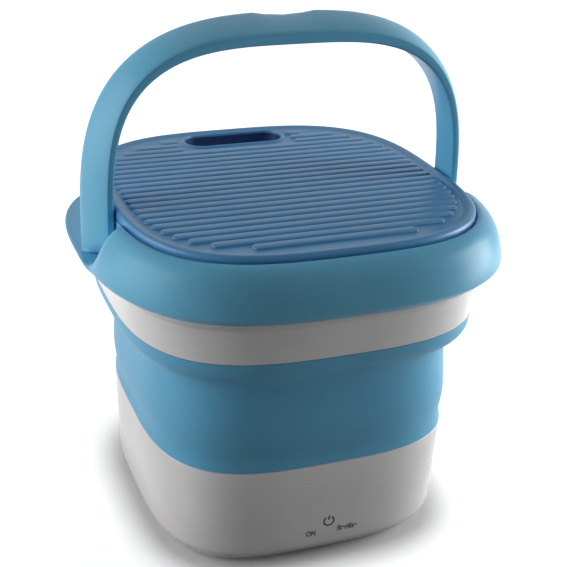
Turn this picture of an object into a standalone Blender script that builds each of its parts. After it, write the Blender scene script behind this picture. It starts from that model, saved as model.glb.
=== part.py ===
"""Folding washing machine: base with motor, soft folding wall, rim, lid and handle.

Metres, +Z up. The origin lies under the middle of the base, on the surface it stands on.
The control side faces -Y. The machine is drawn unfolded, with its handle upright.
"""
import math

import bmesh
import bpy
from mathutils import Matrix, Vector

# Gaps between pieces
MESH_GAP = 0.0003
RUNNING_GAP = 0.0001
MERGE = 0.00001
CUT_OVERRUN = 0.001
WELD_DEPTH = 0.0008

# Corners of the rounded-square outlines, and how finely rings are drawn
CORNER_EXPONENT = 3.15
RIM_CORNER_EXPONENT = 2.85
BASE_CORNER_EXPONENT = 3.7
RING_SEGMENTS = 40
ROUND_SEGMENTS = 16
SCREW_SEGMENTS = 6
OUTER_ROUND_STEPS = 3
INNER_ROUND_STEPS = 2
SMOOTH_ANGLE_DEG = 35

# Heights of the main levels, from the surface up
FOOT_STAND = 0.002
COVER_THICKNESS = 0.0045
BASE_TOP_Z = 0.087
WALL_DROP = 0.096
BAND_HEIGHT = 0.0356
LEDGE_HEIGHT = 0.0034
RIM_CHAMFER = 0.0059
RIM_HEIGHT = 0.0345
LID_RISE = 0.0089
LID_STAND = 0.0046
BAND_BOTTOM_Z = BASE_TOP_Z + WALL_DROP
RIM_EDGE_Z = BAND_BOTTOM_Z + BAND_HEIGHT
LEDGE_Z = RIM_EDGE_Z + LEDGE_HEIGHT
RIM_WIDEST_Z = RIM_EDGE_Z + RIM_CHAMFER
LID_SEAT_Z = RIM_EDGE_Z + RIM_HEIGHT
LID_TOP_Z = LID_SEAT_Z + LID_RISE
FAIRING_TOP_Z = LID_TOP_Z - LID_STAND

# Base shell
BASE_TOP_HALF_WIDTH = 0.1197
BASE_TAPER = 0.0024
BASE_LOW_HALF_WIDTH = BASE_TOP_HALF_WIDTH - BASE_TAPER
BASE_EXTRA_DEPTH = 0.0073
BASE_WALL = 0.0022
BASE_ROUND = 0.0105
BASE_FLANGE_DEPTH = 0.0145
BASE_FLANGE_THICKNESS = 0.0024
SHELF_THICKNESS = 0.0025
SHELF_DEPTH = 0.0077

# Bottom cover and feet
COVER_EDGE_ROUND = 0.0022
COVER_LIP_HEIGHT = 0.003
COVER_LIP_THICKNESS = 0.0018
FOOT_RADIUS = 0.008
FOOT_RECESS = 0.0012
FOOT_INSET_X = 0.0518
FOOT_INSET_Y = 0.0562
FOOT_PLACE_X = BASE_LOW_HALF_WIDTH - FOOT_INSET_X
FOOT_PLACE_Y = BASE_LOW_HALF_WIDTH + BASE_EXTRA_DEPTH - FOOT_INSET_Y

# Tub pan
PAN_FLANGE_THICKNESS = 0.0025
PAN_WALL = 0.0025
PAN_DEPTH = 0.0225
PAN_FLOOR_Z = BASE_TOP_Z - PAN_DEPTH
PAN_SIDE_GAP = 0.0011
PAN_ROUND = 0.004

# Soft folding wall
WALL_THICKNESS = 0.0022
WALL_FLANGE = 0.0025
WALL_SIDE_SHRINK = 0.0003
WALL_BARREL_SWELL = 0.0029
WALL_WAIST_SWELL = 0.0010
WALL_NECK_HALF_WIDTH = BASE_TOP_HALF_WIDTH - WALL_SIDE_SHRINK
WALL_BARREL_HALF_WIDTH = BASE_TOP_HALF_WIDTH + WALL_BARREL_SWELL
WALL_WAIST_HALF_WIDTH = BASE_TOP_HALF_WIDTH + WALL_WAIST_SWELL
CLAMP_THICKNESS = 0.0025
CLAMP_WIDTH = 0.0061

# Band and rim, as distances outside the lid's outline
LID_OVERHANG = 0.0133
LID_EXTRA_DEPTH = 0.0044
LID_HALF_WIDTH = BASE_TOP_HALF_WIDTH + LID_OVERHANG
LID_HALF_DEPTH = LID_HALF_WIDTH + LID_EXTRA_DEPTH
DEPTH_SHARE = 0.85
BAND_TOP_REACH = 0.0050
BAND_BOTTOM_REACH = 0.0032
BAND_WALL = 0.0025
BAND_SHELF_THICKNESS = 0.0029
FLANGE_THICKNESS = 0.0027
LIP_REACH = 0.0162
RIM_EDGE_REACH = 0.0170
RIM_REACH = 0.0245
RIM_WALL = 0.0025
RIM_GROOVE = 0.0018
LEDGE_HOLLOW = 0.0009
SHOULDER_FRONT_Y = 0.044
SHOULDER_REAR_Y = 0.0285
SHOULDER_STEPS = 5

# Lid
LID_SKIRT_GAP = 0.0005
LID_SKIRT_THICKNESS = 0.003
LID_SKIRT_HEIGHT = 0.0075
LID_PLATE = 0.003
LID_FIELD_DROP = 0.0016
LID_BEAD_WIDTH = 0.0055
RIB_PITCH = 0.0104
RIB_WIDTH = 0.0070
RIB_HEIGHT = 0.0016
RIB_TOP_SHARE = 0.5
RIB_END_STEPS = 4
RIB_INSET_X = 0.0115
RIB_INSET_Y = 0.0184
RIB_FRONT_INSET = 0.0229
RIB_FIRST_Y = RIB_FRONT_INSET - LID_HALF_DEPTH
SLOT_LENGTH = 0.084
SLOT_WIDTH = 0.028
SLOT_INSET = 0.0269
SLOT_Y = LID_HALF_DEPTH - SLOT_INSET
SLOT_BORDER = 0.0025
SLOT_DEPTH = 0.014
SLOT_FLOOR = 0.002
RIB_COUNT = int((SLOT_Y - SLOT_WIDTH / 2 - SLOT_BORDER - RIB_FIRST_Y) / RIB_PITCH)

# Handle
HANDLE_SIDE_GAP = 0.0012
HANDLE_THICKNESS = 0.0188
HANDLE_INNER_X = LID_HALF_WIDTH + HANDLE_SIDE_GAP
HANDLE_HALF_WIDTH = HANDLE_INNER_X + HANDLE_THICKNESS
HANDLE_TOP_THICKNESS = 0.0180
HANDLE_FRONT_Y = -0.026
HANDLE_REAR_Y = 0.004
HANDLE_LEG_HEIGHT = 0.020
HANDLE_LID_GAP = 0.0081
HANDLE_ARCH_Z = LEDGE_Z + HANDLE_LEG_HEIGHT
HANDLE_OUTER_EXPONENT = 2.85
HANDLE_INNER_EXPONENT = 3.35
HANDLE_EDGE_ROUND = 0.0025
HANDLE_LEG_FLAT = 0.0054
HANDLE_TOP_FLAT = 0.0088
HANDLE_FACE_BULGE = 0.0012
HANDLE_TIP_FRONT_ROUND = 0.0185
HANDLE_ARCH_STEPS = 26
GRIP_DIP = 0.0023
GRIP_HALF_LENGTH = 0.024
PIVOT_Y = -0.0010
LEDGE_CLEARANCE = 0.0005
PIN_RADIUS = 0.003
PIN_HEAD_RADIUS = 0.0048
PIN_HEAD_THICKNESS = 0.0012
PIN_GRIP = 0.0095
WASHER_RADIUS = 0.0048

# Motor, shaft and impeller
SHAFT_RADIUS = 0.004
BUSH_RADIUS = 0.008
BUSH_LENGTH = 0.0072
SEAL_LENGTH = 0.0042
HOUSING_RADIUS = 0.0125
MOTOR_RADIUS = 0.031
MOTOR_LIFT = 0.0095
CAN_WALL = 0.0013
STATOR_INNER_RADIUS = 0.0195
ROTOR_RADIUS = 0.0188
ROTOR_END_GAP = 0.006
BRACKET_HALF_SIDE = 0.036
BRACKET_THICKNESS = 0.002
BRACKET_HOLE_RADIUS = 0.014
BRACKET_DROP = 0.0162
BRACKET_Z = PAN_FLOOR_Z - BRACKET_DROP
POST_PLACE = 0.028
POST_RADIUS = 0.0045
IMPELLER_SIDE_GAP = 0.0457
IMPELLER_DISC = 0.0035
IMPELLER_GAP = 0.0015
IMPELLER_HUB_RADIUS = 0.013
IMPELLER_HUB_HEIGHT = 0.0125
VANE_COUNT = 4
VANE_HEIGHT = 0.0085
VANE_THICKNESS = 0.005
VANE_INSET = 0.006
NUT_RADIUS = 0.0075
NUT_HEIGHT = 0.007
NUT_ROOF = 0.002

# Controls
BOARD_HALF_LENGTH = 0.044
BOARD_BELOW_KEYS = 0.015
BOARD_ABOVE_KEYS = 0.017
BOARD_THICKNESS = 0.0016
BOARD_STANDOFF = 0.0075
BOARD_POST_INSET = 0.008
BOARD_POST_X = BOARD_HALF_LENGTH - BOARD_POST_INSET
BOARD_POST_RADIUS = 0.003
KEY_RADIUS = 0.0045
KEY_Z = 0.0315
POWER_KEY_X = 0.0015
STERILISE_KEY_X = 0.017
CONTACT_GAP = 0.0006

# Steriliser window in the tub floor
LENS_RADIUS = 0.008
LENS_FLANGE = 0.002
LENS_FLANGE_THICKNESS = 0.001
LENS_WALL_GAP = 0.0301
LAMP_RADIUS = 0.0065
LAMP_HEIGHT = 0.006

# Inlet at the rear, drain at the right side
JACK_Z = 0.032
JACK_BARREL_RADIUS = 0.004
JACK_BORE_RADIUS = 0.00275
JACK_BORE_DEPTH = 0.009
JACK_PIN_RADIUS = 0.0009
JACK_BODY_HALF = 0.006
JACK_BODY_DEPTH = 0.011
SPOUT_RADIUS = 0.0052
SPOUT_BORE_RADIUS = 0.0037
SPOUT_FLANGE_RADIUS = 0.0068
SPOUT_FLANGE_THICKNESS = 0.0015
SPOUT_OUTSIDE = 0.002
DRAIN_NUT_THICKNESS = 0.0035
PLUG_HEAD_RADIUS = 0.0085
PLUG_HEAD_THICKNESS = 0.0035
PLUG_STEM_LENGTH = 0.012

# Screws
SCREW_RADIUS = 0.0014
SCREW_HEAD_RADIUS = 0.0026
SCREW_HEAD_HEIGHT = 0.0013
SCREW_LENGTH = 0.0085
BOSS_RADIUS = 0.0038
CLAMP_SCREW_COUNT = 4
FRONT_RIM_SCREW_ANGLES = (-125, -55)
REAR_RIM_SCREW_ANGLES = (55, 125)
RIM_SCREW_REACH = 0.0085
RIM_SCREW_LENGTH = 0.0052
COVER_SCREW_ANGLES = (45, 135, 225, 315)

# Levels that follow from the sizes above
COVER_TOP_Z = FOOT_STAND + COVER_THICKNESS
SHELL_BOTTOM_Z = COVER_TOP_Z + MESH_GAP
BELLOWS_FLANGE_Z = BASE_TOP_Z - WALL_FLANGE / 2
PAN_FLANGE_TOP_Z = BELLOWS_FLANGE_Z - MESH_GAP
PAN_FLANGE_BOTTOM_Z = PAN_FLANGE_TOP_Z - PAN_FLANGE_THICKNESS
SHELF_TOP_Z = PAN_FLANGE_BOTTOM_Z - MESH_GAP
SHELF_BOTTOM_Z = SHELF_TOP_Z - SHELF_THICKNESS
BASE_CLAMP_Z = BELLOWS_FLANGE_Z + WALL_FLANGE + MESH_GAP
PAN_BOTTOM_Z = PAN_FLOOR_Z - PAN_WALL
FLANGE_TOP_Z = RIM_EDGE_Z - MESH_GAP
FLANGE_BOTTOM_Z = FLANGE_TOP_Z - FLANGE_THICKNESS
BAND_CLAMP_Z = BAND_BOTTOM_Z + SCREW_HEAD_HEIGHT + MESH_GAP
BELLOWS_TOP_FLANGE_Z = BAND_CLAMP_Z + CLAMP_THICKNESS + MESH_GAP
BAND_SHELF_Z = BELLOWS_TOP_FLANGE_Z + WALL_FLANGE + MESH_GAP
HOUSING_BOTTOM_Z = PAN_FLOOR_Z - SEAL_LENGTH - BUSH_LENGTH - MESH_GAP
POST_BOTTOM_Z = BRACKET_Z + BRACKET_THICKNESS + MESH_GAP
CAN_TOP_Z = BRACKET_Z - MESH_GAP
CAN_BOTTOM_Z = COVER_TOP_Z + MOTOR_LIFT
IMPELLER_Z = PAN_FLOOR_Z + IMPELLER_GAP
HUB_TOP_Z = IMPELLER_Z + IMPELLER_HUB_HEIGHT
NUT_Z = HUB_TOP_Z + MESH_GAP
SHAFT_TOP_Z = NUT_Z + NUT_HEIGHT - NUT_ROOF - MESH_GAP
PIVOT_TIP_RADIUS = HANDLE_REAR_Y - PIVOT_Y
PIVOT_Z = LEDGE_Z + LEDGE_CLEARANCE + PIVOT_TIP_RADIUS
HANDLE_TOP_Z = PIVOT_Z + LID_HALF_DEPTH + HANDLE_LID_GAP + HANDLE_TOP_THICKNESS
WALL_INNER_X = LID_HALF_WIDTH - RIM_WALL
PAN_WALL_X = BASE_TOP_HALF_WIDTH - BASE_WALL - SHELF_DEPTH - PAN_SIDE_GAP - PAN_WALL
IMPELLER_RADIUS = PAN_WALL_X - IMPELLER_SIDE_GAP
LENS_Y = PAN_WALL_X + BASE_EXTRA_DEPTH - LENS_WALL_GAP
SPOUT_Z = PAN_FLOOR_Z + PAN_ROUND - PAN_WALL + SPOUT_FLANGE_RADIUS + MESH_GAP

X_AXIS = Vector((1, 0, 0))
Y_AXIS = Vector((0, 1, 0))
Z_AXIS = Vector((0, 0, 1))

WHITE = ("white_plastic", (0.80, 0.80, 0.82), 0.22, 0.0)
BLUE = ("blue_plastic", (0.19, 0.42, 0.58), 0.20, 0.0)
SOFT_BLUE = ("soft_blue", (0.15, 0.45, 0.68), 0.50, 0.0)
STEEL = ("steel", (0.62, 0.63, 0.65), 0.30, 1.0)
COPPER = ("copper", (0.72, 0.38, 0.22), 0.35, 1.0)
BLACK = ("black_plastic", (0.03, 0.03, 0.03), 0.45, 0.0)
RUBBER = ("rubber", (0.06, 0.06, 0.065), 0.80, 0.0)
BOARD = ("board", (0.05, 0.22, 0.10), 0.45, 0.0)
CLEAR = ("clear_plastic", (0.75, 0.82, 0.95), 0.08, 0.0)


def clear_scene():
    for old in list(bpy.data.objects):
        bpy.data.objects.remove(old, do_unlink=True)


def new_collection(name):
    made = bpy.data.collections.new(name)
    bpy.context.scene.collection.children.link(made)
    return made


clear_scene()
PARTS = new_collection("folding_washing_machine")
CUTTERS = new_collection("cutters")


# Materials and objects
def material_for(node_name, finish):
    family, colour, roughness, metallic = finish
    made = bpy.data.materials.new(f"{node_name}_{family}")
    made.use_nodes = True
    shader = made.node_tree.nodes["Principled BSDF"]
    shader.inputs["Base Color"].default_value = (*colour, 1.0)
    shader.inputs["Roughness"].default_value = roughness
    shader.inputs["Metallic"].default_value = metallic
    return made


def shade(mesh):
    mesh.shade_smooth()
    mesh.set_sharp_from_angle(angle=math.radians(SMOOTH_ANGLE_DEG))


def add_part(name, mesh, finish, origin=Vector()):
    """Adds a finished mesh, given in world places, with its origin moved to origin."""
    mesh.transform(Matrix.Translation(-origin))
    shade(mesh)
    made = bpy.data.objects.new(name, mesh)
    made.location = origin
    mesh.materials.clear()
    mesh.materials.append(material_for(name, finish))
    PARTS.objects.link(made)
    return made


def add_cutter(name, mesh):
    made = bpy.data.objects.new(name, mesh)
    made.hide_render = True
    made.display_type = "WIRE"
    CUTTERS.objects.link(made)
    return made


def mesh_from(bm, name):
    bmesh.ops.recalc_face_normals(bm, faces=bm.faces)
    mesh = bpy.data.meshes.new(name)
    bm.to_mesh(mesh)
    bm.free()
    return mesh


def boolean(target, tool, operation):
    step = target.modifiers.new(tool.name, "BOOLEAN")
    step.operation = operation
    step.solver = "EXACT"
    step.object = tool


def cut(target, mesh, name):
    boolean(target, add_cutter(name, mesh), "DIFFERENCE")


def join(target, mesh, name):
    boolean(target, add_cutter(name, mesh), "UNION")


# Rounded-square outlines
def outline_point(half_width, half_depth, angle, exponent=CORNER_EXPONENT):
    across = abs(math.cos(angle)) / half_width
    along = abs(math.sin(angle)) / half_depth
    radius = (across**exponent + along**exponent) ** (-1 / exponent)
    return Vector((radius * math.cos(angle), radius * math.sin(angle), 0))


def outline_half_length(half_width, half_depth, y, exponent=CORNER_EXPONENT):
    share = 1 - (abs(y) / half_depth) ** exponent
    return half_width * share ** (1 / exponent)


def base_point(half_width, z, angle):
    depth = half_width + BASE_EXTRA_DEPTH
    return outline_point(half_width, depth, angle, BASE_CORNER_EXPONENT) + Z_AXIS * z


def collar_point(reach, z, angle):
    """A point of the collar, whose corners get rounder from the band out to the rim's edge."""
    depth = LID_HALF_DEPTH + DEPTH_SHARE * reach
    share = max(0, reach - BAND_TOP_REACH) / (RIM_REACH - BAND_TOP_REACH)
    exponent = CORNER_EXPONENT + (RIM_CORNER_EXPONENT - CORNER_EXPONENT) * share
    return outline_point(LID_HALF_WIDTH + reach, depth, angle, exponent) + Z_AXIS * z


def wall_point(half_width, z, angle):
    """A point of the soft wall, whose outline eases from the base's to the collar's."""
    share = min(max((z - BASE_TOP_Z) / (BAND_BOTTOM_Z - BASE_TOP_Z), 0), 1)
    collar_depth = LID_HALF_DEPTH + DEPTH_SHARE * (half_width - LID_HALF_WIDTH)
    base_depth = half_width + BASE_EXTRA_DEPTH
    depth = base_depth + (collar_depth - base_depth) * share
    exponent = BASE_CORNER_EXPONENT + (CORNER_EXPONENT - BASE_CORNER_EXPONENT) * share
    return outline_point(half_width, depth, angle, exponent) + Z_AXIS * z


def outline_angles(count):
    """Directions round an outline, closer together at its corners than along its sides."""
    power = 2 / CORNER_EXPONENT
    angles = []
    for step in range(count):
        turn = 2 * math.pi * step / count
        x = math.copysign(abs(math.cos(turn)) ** power, math.cos(turn))
        y = math.copysign(abs(math.sin(turn)) ** power, math.sin(turn))
        angles.append(math.atan2(y, x))
    return angles


def loft(name, section_at, angles, capped):
    """Joins the section at each angle into a ring, or into a plate closed at both ends."""
    bm = bmesh.new()
    columns = []
    for angle in angles:
        columns.append([bm.verts.new(point) for point in section_at(angle)])
    rows = len(columns[0])
    for index, column in enumerate(columns):
        following = columns[(index + 1) % len(columns)]
        for row in range(rows if not capped else rows - 1):
            above = (row + 1) % rows
            bm.faces.new((column[row], following[row], following[above], column[above]))
    if capped:
        bm.faces.new([column[0] for column in columns])
        bm.faces.new([column[-1] for column in columns])
    return mesh_from(bm, name)


def ring_mesh(name, place, section, capped=False, segments=RING_SEGMENTS):
    """A ring or plate with one section all round; place turns (size, z, angle) into a point."""
    def section_at(angle):
        return [place(size, z, angle) for size, z in section]
    return loft(name, section_at, outline_angles(segments), capped)


# Round pieces
def turned_mesh(name, profile, segments=ROUND_SEGMENTS, closed=False):
    """Turns (radius, z) points about Z. A profile that ends on the axis is a solid."""
    bm = bmesh.new()
    verts = [bm.verts.new((radius, 0, z)) for radius, z in profile]
    for first, second in zip(verts, verts[1:]):
        bm.edges.new((first, second))
    if closed:
        bm.edges.new((verts[-1], verts[0]))
    draft = bpy.data.meshes.new(f"{name}_profile")
    bm.to_mesh(draft)
    bm.free()
    holder = bpy.data.objects.new(f"{name}_profile", draft)
    CUTTERS.objects.link(holder)
    screw = holder.modifiers.new("turn", "SCREW")
    screw.steps = segments
    screw.render_steps = segments
    screw.use_merge_vertices = True
    screw.merge_threshold = MERGE
    bpy.context.view_layer.update()
    evaluated = holder.evaluated_get(bpy.context.evaluated_depsgraph_get())
    mesh = bpy.data.meshes.new_from_object(evaluated)
    bpy.data.objects.remove(holder, do_unlink=True)
    bm = bmesh.new()
    bm.from_mesh(mesh)
    bmesh.ops.remove_doubles(bm, verts=bm.verts, dist=MERGE)
    bmesh.ops.recalc_face_normals(bm, faces=bm.faces)
    bm.to_mesh(mesh)
    bm.free()
    return mesh


def tube_profile(outer, inner, bottom, top):
    return [(outer, top), (outer, bottom), (inner, bottom), (inner, top)]


def disc_profile(radius, bottom, top):
    return [(0, top), (radius, top), (radius, bottom), (0, bottom)]


def pointing(direction, place):
    """The matrix that turns +Z to a direction and moves it to a place."""
    turn = Z_AXIS.rotation_difference(direction).to_matrix().to_4x4()
    return Matrix.Translation(place) @ turn


def cylinders(name, radius, length, matrices, segments=ROUND_SEGMENTS):
    """One mesh of separate cylinders, each from its matrix's origin along its Z."""
    bm = bmesh.new()
    for matrix in matrices:
        middle = matrix @ Matrix.Translation(Z_AXIS * length / 2)
        bmesh.ops.create_cone(
            bm, cap_ends=True, segments=segments, radius1=radius, radius2=radius,
            depth=length, matrix=middle,
        )
    return mesh_from(bm, name)


def box_mesh(name, low, high):
    size = high - low
    bm = bmesh.new()
    placed = Matrix.Translation((low + high) / 2) @ Matrix.Diagonal((*size, 1))
    bmesh.ops.create_cube(bm, size=1, matrix=placed)
    return mesh_from(bm, name)


def screws(name, matrices, length):
    """Screws whose heads sit at each matrix's origin, with their shanks along its Z."""
    profile = [
        (0, -SCREW_HEAD_HEIGHT), (SCREW_HEAD_RADIUS, -SCREW_HEAD_HEIGHT),
        (SCREW_HEAD_RADIUS, 0), (SCREW_RADIUS, 0), (SCREW_RADIUS, length), (0, length),
    ]
    for number, matrix in enumerate(matrices, start=1):
        mesh = turned_mesh(name, profile, SCREW_SEGMENTS)
        mesh.transform(matrix)
        add_part(f"{name}_{number}", mesh, STEEL)


def screw_holes(name, target, matrices, length):
    """Clearance holes along the screws, started a little before their heads."""
    shifted = [matrix @ Matrix.Translation(-Z_AXIS * CUT_OVERRUN) for matrix in matrices]
    radius = SCREW_RADIUS + MESH_GAP
    reach = length + CUT_OVERRUN + MESH_GAP
    cut(target, cylinders(name, radius, reach, shifted, SCREW_SEGMENTS), name)


# Screw places
CLAMP_ANGLES = [
    2 * math.pi * (step + 0.5) / CLAMP_SCREW_COUNT for step in range(CLAMP_SCREW_COUNT)
]
BASE_CLAMP_OUTER = BASE_TOP_HALF_WIDTH - BASE_WALL - MESH_GAP - WALL_THICKNESS - MESH_GAP
BASE_CLAMP_MIDDLE = BASE_CLAMP_OUTER - CLAMP_WIDTH / 2
BAND_CLAMP_OUTER = BAND_BOTTOM_REACH - BAND_WALL - WALL_THICKNESS - 2 * MESH_GAP
BAND_CLAMP_MIDDLE = BAND_CLAMP_OUTER - CLAMP_WIDTH / 2


def base_clamp_places():
    top = BASE_CLAMP_Z + CLAMP_THICKNESS + MESH_GAP
    return [pointing(-Z_AXIS, base_point(BASE_CLAMP_MIDDLE, top, a)) for a in CLAMP_ANGLES]


def band_clamp_places():
    bottom = BAND_CLAMP_Z - MESH_GAP
    return [pointing(Z_AXIS, collar_point(BAND_CLAMP_MIDDLE, bottom, a)) for a in CLAMP_ANGLES]


def rim_screw_places(angles):
    bottom = FLANGE_BOTTOM_Z - MESH_GAP
    return [
        pointing(Z_AXIS, collar_point(RIM_SCREW_REACH, bottom, math.radians(angle)))
        for angle in angles
    ]


def cover_screw_places():
    ring = BASE_LOW_HALF_WIDTH - BASE_ROUND - BASE_FLANGE_DEPTH / 2
    return [
        pointing(Z_AXIS, base_point(ring, FOOT_STAND - MESH_GAP, math.radians(angle)))
        for angle in COVER_SCREW_ANGLES
    ]


# Base
def rounded_foot(half_width, bottom, radius, steps):
    """Points of a rounded lower edge, from the flat underside up to the side."""
    points = []
    for step in range(steps + 1):
        turn = math.pi / 2 * step / steps
        reach = half_width - radius + radius * math.sin(turn)
        points.append((reach, bottom + radius - radius * math.cos(turn)))
    return points


def make_base_shell():
    inner_low = BASE_LOW_HALF_WIDTH - BASE_WALL
    inner_top = BASE_TOP_HALF_WIDTH - BASE_WALL
    shelf_inner = inner_top - SHELF_DEPTH
    flange_top = SHELL_BOTTOM_Z + BASE_FLANGE_THICKNESS
    flange_inner = BASE_LOW_HALF_WIDTH - BASE_ROUND - BASE_FLANGE_DEPTH
    outside = rounded_foot(BASE_LOW_HALF_WIDTH, SHELL_BOTTOM_Z, BASE_ROUND, OUTER_ROUND_STEPS)
    inside = rounded_foot(inner_low, flange_top, BASE_ROUND - BASE_WALL, INNER_ROUND_STEPS)
    section = [(flange_inner, SHELL_BOTTOM_Z)]
    section += outside
    section += [(BASE_TOP_HALF_WIDTH, BASE_TOP_Z), (inner_top, BASE_TOP_Z)]
    section += [(inner_top, SHELF_TOP_Z), (shelf_inner, SHELF_TOP_Z)]
    section += [(shelf_inner, SHELF_BOTTOM_Z), (inner_top, SHELF_BOTTOM_Z)]
    section += reversed(inside)
    section += [(flange_inner, flange_top)]
    shell = add_part("base_shell", ring_mesh("base_shell", base_point, section), WHITE)
    depth = base_wall_y(KEY_Z)
    posts = [
        pointing(Y_AXIS, Vector((side * BOARD_POST_X, -depth - WELD_DEPTH, KEY_Z)))
        for side in (-1, 1)
    ]
    length = BOARD_STANDOFF + WELD_DEPTH
    join(shell, cylinders("board_posts", BOARD_POST_RADIUS, length, posts), "board_posts")
    bosses = [
        Matrix.Translation(Z_AXIS * (flange_top - WELD_DEPTH - FOOT_STAND + MESH_GAP)) @ place
        for place in cover_screw_places()
    ]
    boss_height = SCREW_LENGTH - COVER_THICKNESS + BASE_FLANGE_THICKNESS
    join(shell, cylinders("cover_bosses", BOSS_RADIUS, boss_height, bosses), "cover_bosses")
    screw_holes("cover_screw_holes", shell, cover_screw_places(), SCREW_LENGTH)
    clamp_holes = base_clamp_places()
    screw_holes("shelf_screw_holes", shell, clamp_holes, clamp_screw_length())
    screw_holes("board_screw_holes", shell, board_screw_places(), BOARD_STANDOFF)
    rear = Vector((0, base_wall_y(JACK_Z) - CUT_OVERRUN, JACK_Z))
    hole = JACK_BARREL_RADIUS + MESH_GAP
    through = 2 * CUT_OVERRUN + 2 * BASE_WALL
    cut(shell, cylinders("jack_hole", hole, through, [pointing(Y_AXIS, rear)]), "jack_hole")
    side = Vector((base_wall_x(SPOUT_Z) - CUT_OVERRUN, 0, SPOUT_Z))
    hole = SPOUT_RADIUS + MESH_GAP
    cut(shell, cylinders("spout_hole", hole, through, [pointing(X_AXIS, side)]), "spout_hole")
    return shell


def base_outer_width(z):
    low = SHELL_BOTTOM_Z + BASE_ROUND
    share = (z - low) / (BASE_TOP_Z - low)
    return BASE_LOW_HALF_WIDTH + (BASE_TOP_HALF_WIDTH - BASE_LOW_HALF_WIDTH) * share


def base_wall_x(z):
    """Half-width of the base shell's inner face at mid depth."""
    return base_outer_width(z) - BASE_WALL


def base_wall_y(z, x=0):
    """Half-depth of the base shell's inner face, at mid width or beside it."""
    half_width = base_wall_x(z)
    depth = half_width + BASE_EXTRA_DEPTH
    return outline_half_length(depth, half_width, x, BASE_CORNER_EXPONENT)


def clamp_screw_length():
    stack = CLAMP_THICKNESS + WALL_FLANGE + PAN_FLANGE_THICKNESS + SHELF_THICKNESS
    return stack + 3 * MESH_GAP


def make_bottom_cover():
    edge = BASE_LOW_HALF_WIDTH - BASE_ROUND
    lip = edge - BASE_FLANGE_DEPTH - MESH_GAP
    lip_top = COVER_TOP_Z + COVER_LIP_HEIGHT
    section = [
        (edge - COVER_EDGE_ROUND, FOOT_STAND), (edge, FOOT_STAND + COVER_EDGE_ROUND / 2),
        (edge, COVER_TOP_Z), (lip, COVER_TOP_Z), (lip, lip_top),
        (lip - COVER_LIP_THICKNESS, lip_top), (lip - COVER_LIP_THICKNESS, COVER_TOP_Z),
    ]
    mesh = ring_mesh("bottom_cover", base_point, section, capped=True)
    cover = add_part("bottom_cover", mesh, WHITE)
    recesses = [
        pointing(Z_AXIS, Vector((x, y, FOOT_STAND - CUT_OVERRUN))) for x, y in foot_places()
    ]
    depth = FOOT_RECESS + CUT_OVERRUN
    cut(cover, cylinders("foot_recess", FOOT_RADIUS + MESH_GAP, depth, recesses), "foot_recess")
    screw_holes("cover_holes", cover, cover_screw_places(), SCREW_LENGTH)
    sunk = [
        place @ Matrix.Translation(-Z_AXIS * CUT_OVERRUN) for place in cover_screw_places()
    ]
    radius = SCREW_HEAD_RADIUS + 2 * MESH_GAP
    depth = SCREW_HEAD_HEIGHT + CUT_OVERRUN + 3 * MESH_GAP
    cut(cover, cylinders("head_recess", radius, depth, sunk, SCREW_SEGMENTS), "head_recess")
    heads = [
        place @ Matrix.Translation(Z_AXIS * (SCREW_HEAD_HEIGHT + 2 * MESH_GAP))
        for place in cover_screw_places()
    ]
    screws("cover_screw", heads, SCREW_LENGTH - SCREW_HEAD_HEIGHT - 2 * MESH_GAP)


def foot_places():
    return [
        (side * FOOT_PLACE_X, end * FOOT_PLACE_Y) for end in (-1, 1) for side in (-1, 1)
    ]


def make_feet():
    top = FOOT_STAND + FOOT_RECESS - MESH_GAP
    for number, (x, y) in enumerate(foot_places(), start=1):
        name = f"foot_{number}"
        mesh = turned_mesh(name, disc_profile(FOOT_RADIUS, 0, top))
        mesh.transform(Matrix.Translation((x, y, 0)))
        add_part(name, mesh, RUBBER)


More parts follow.
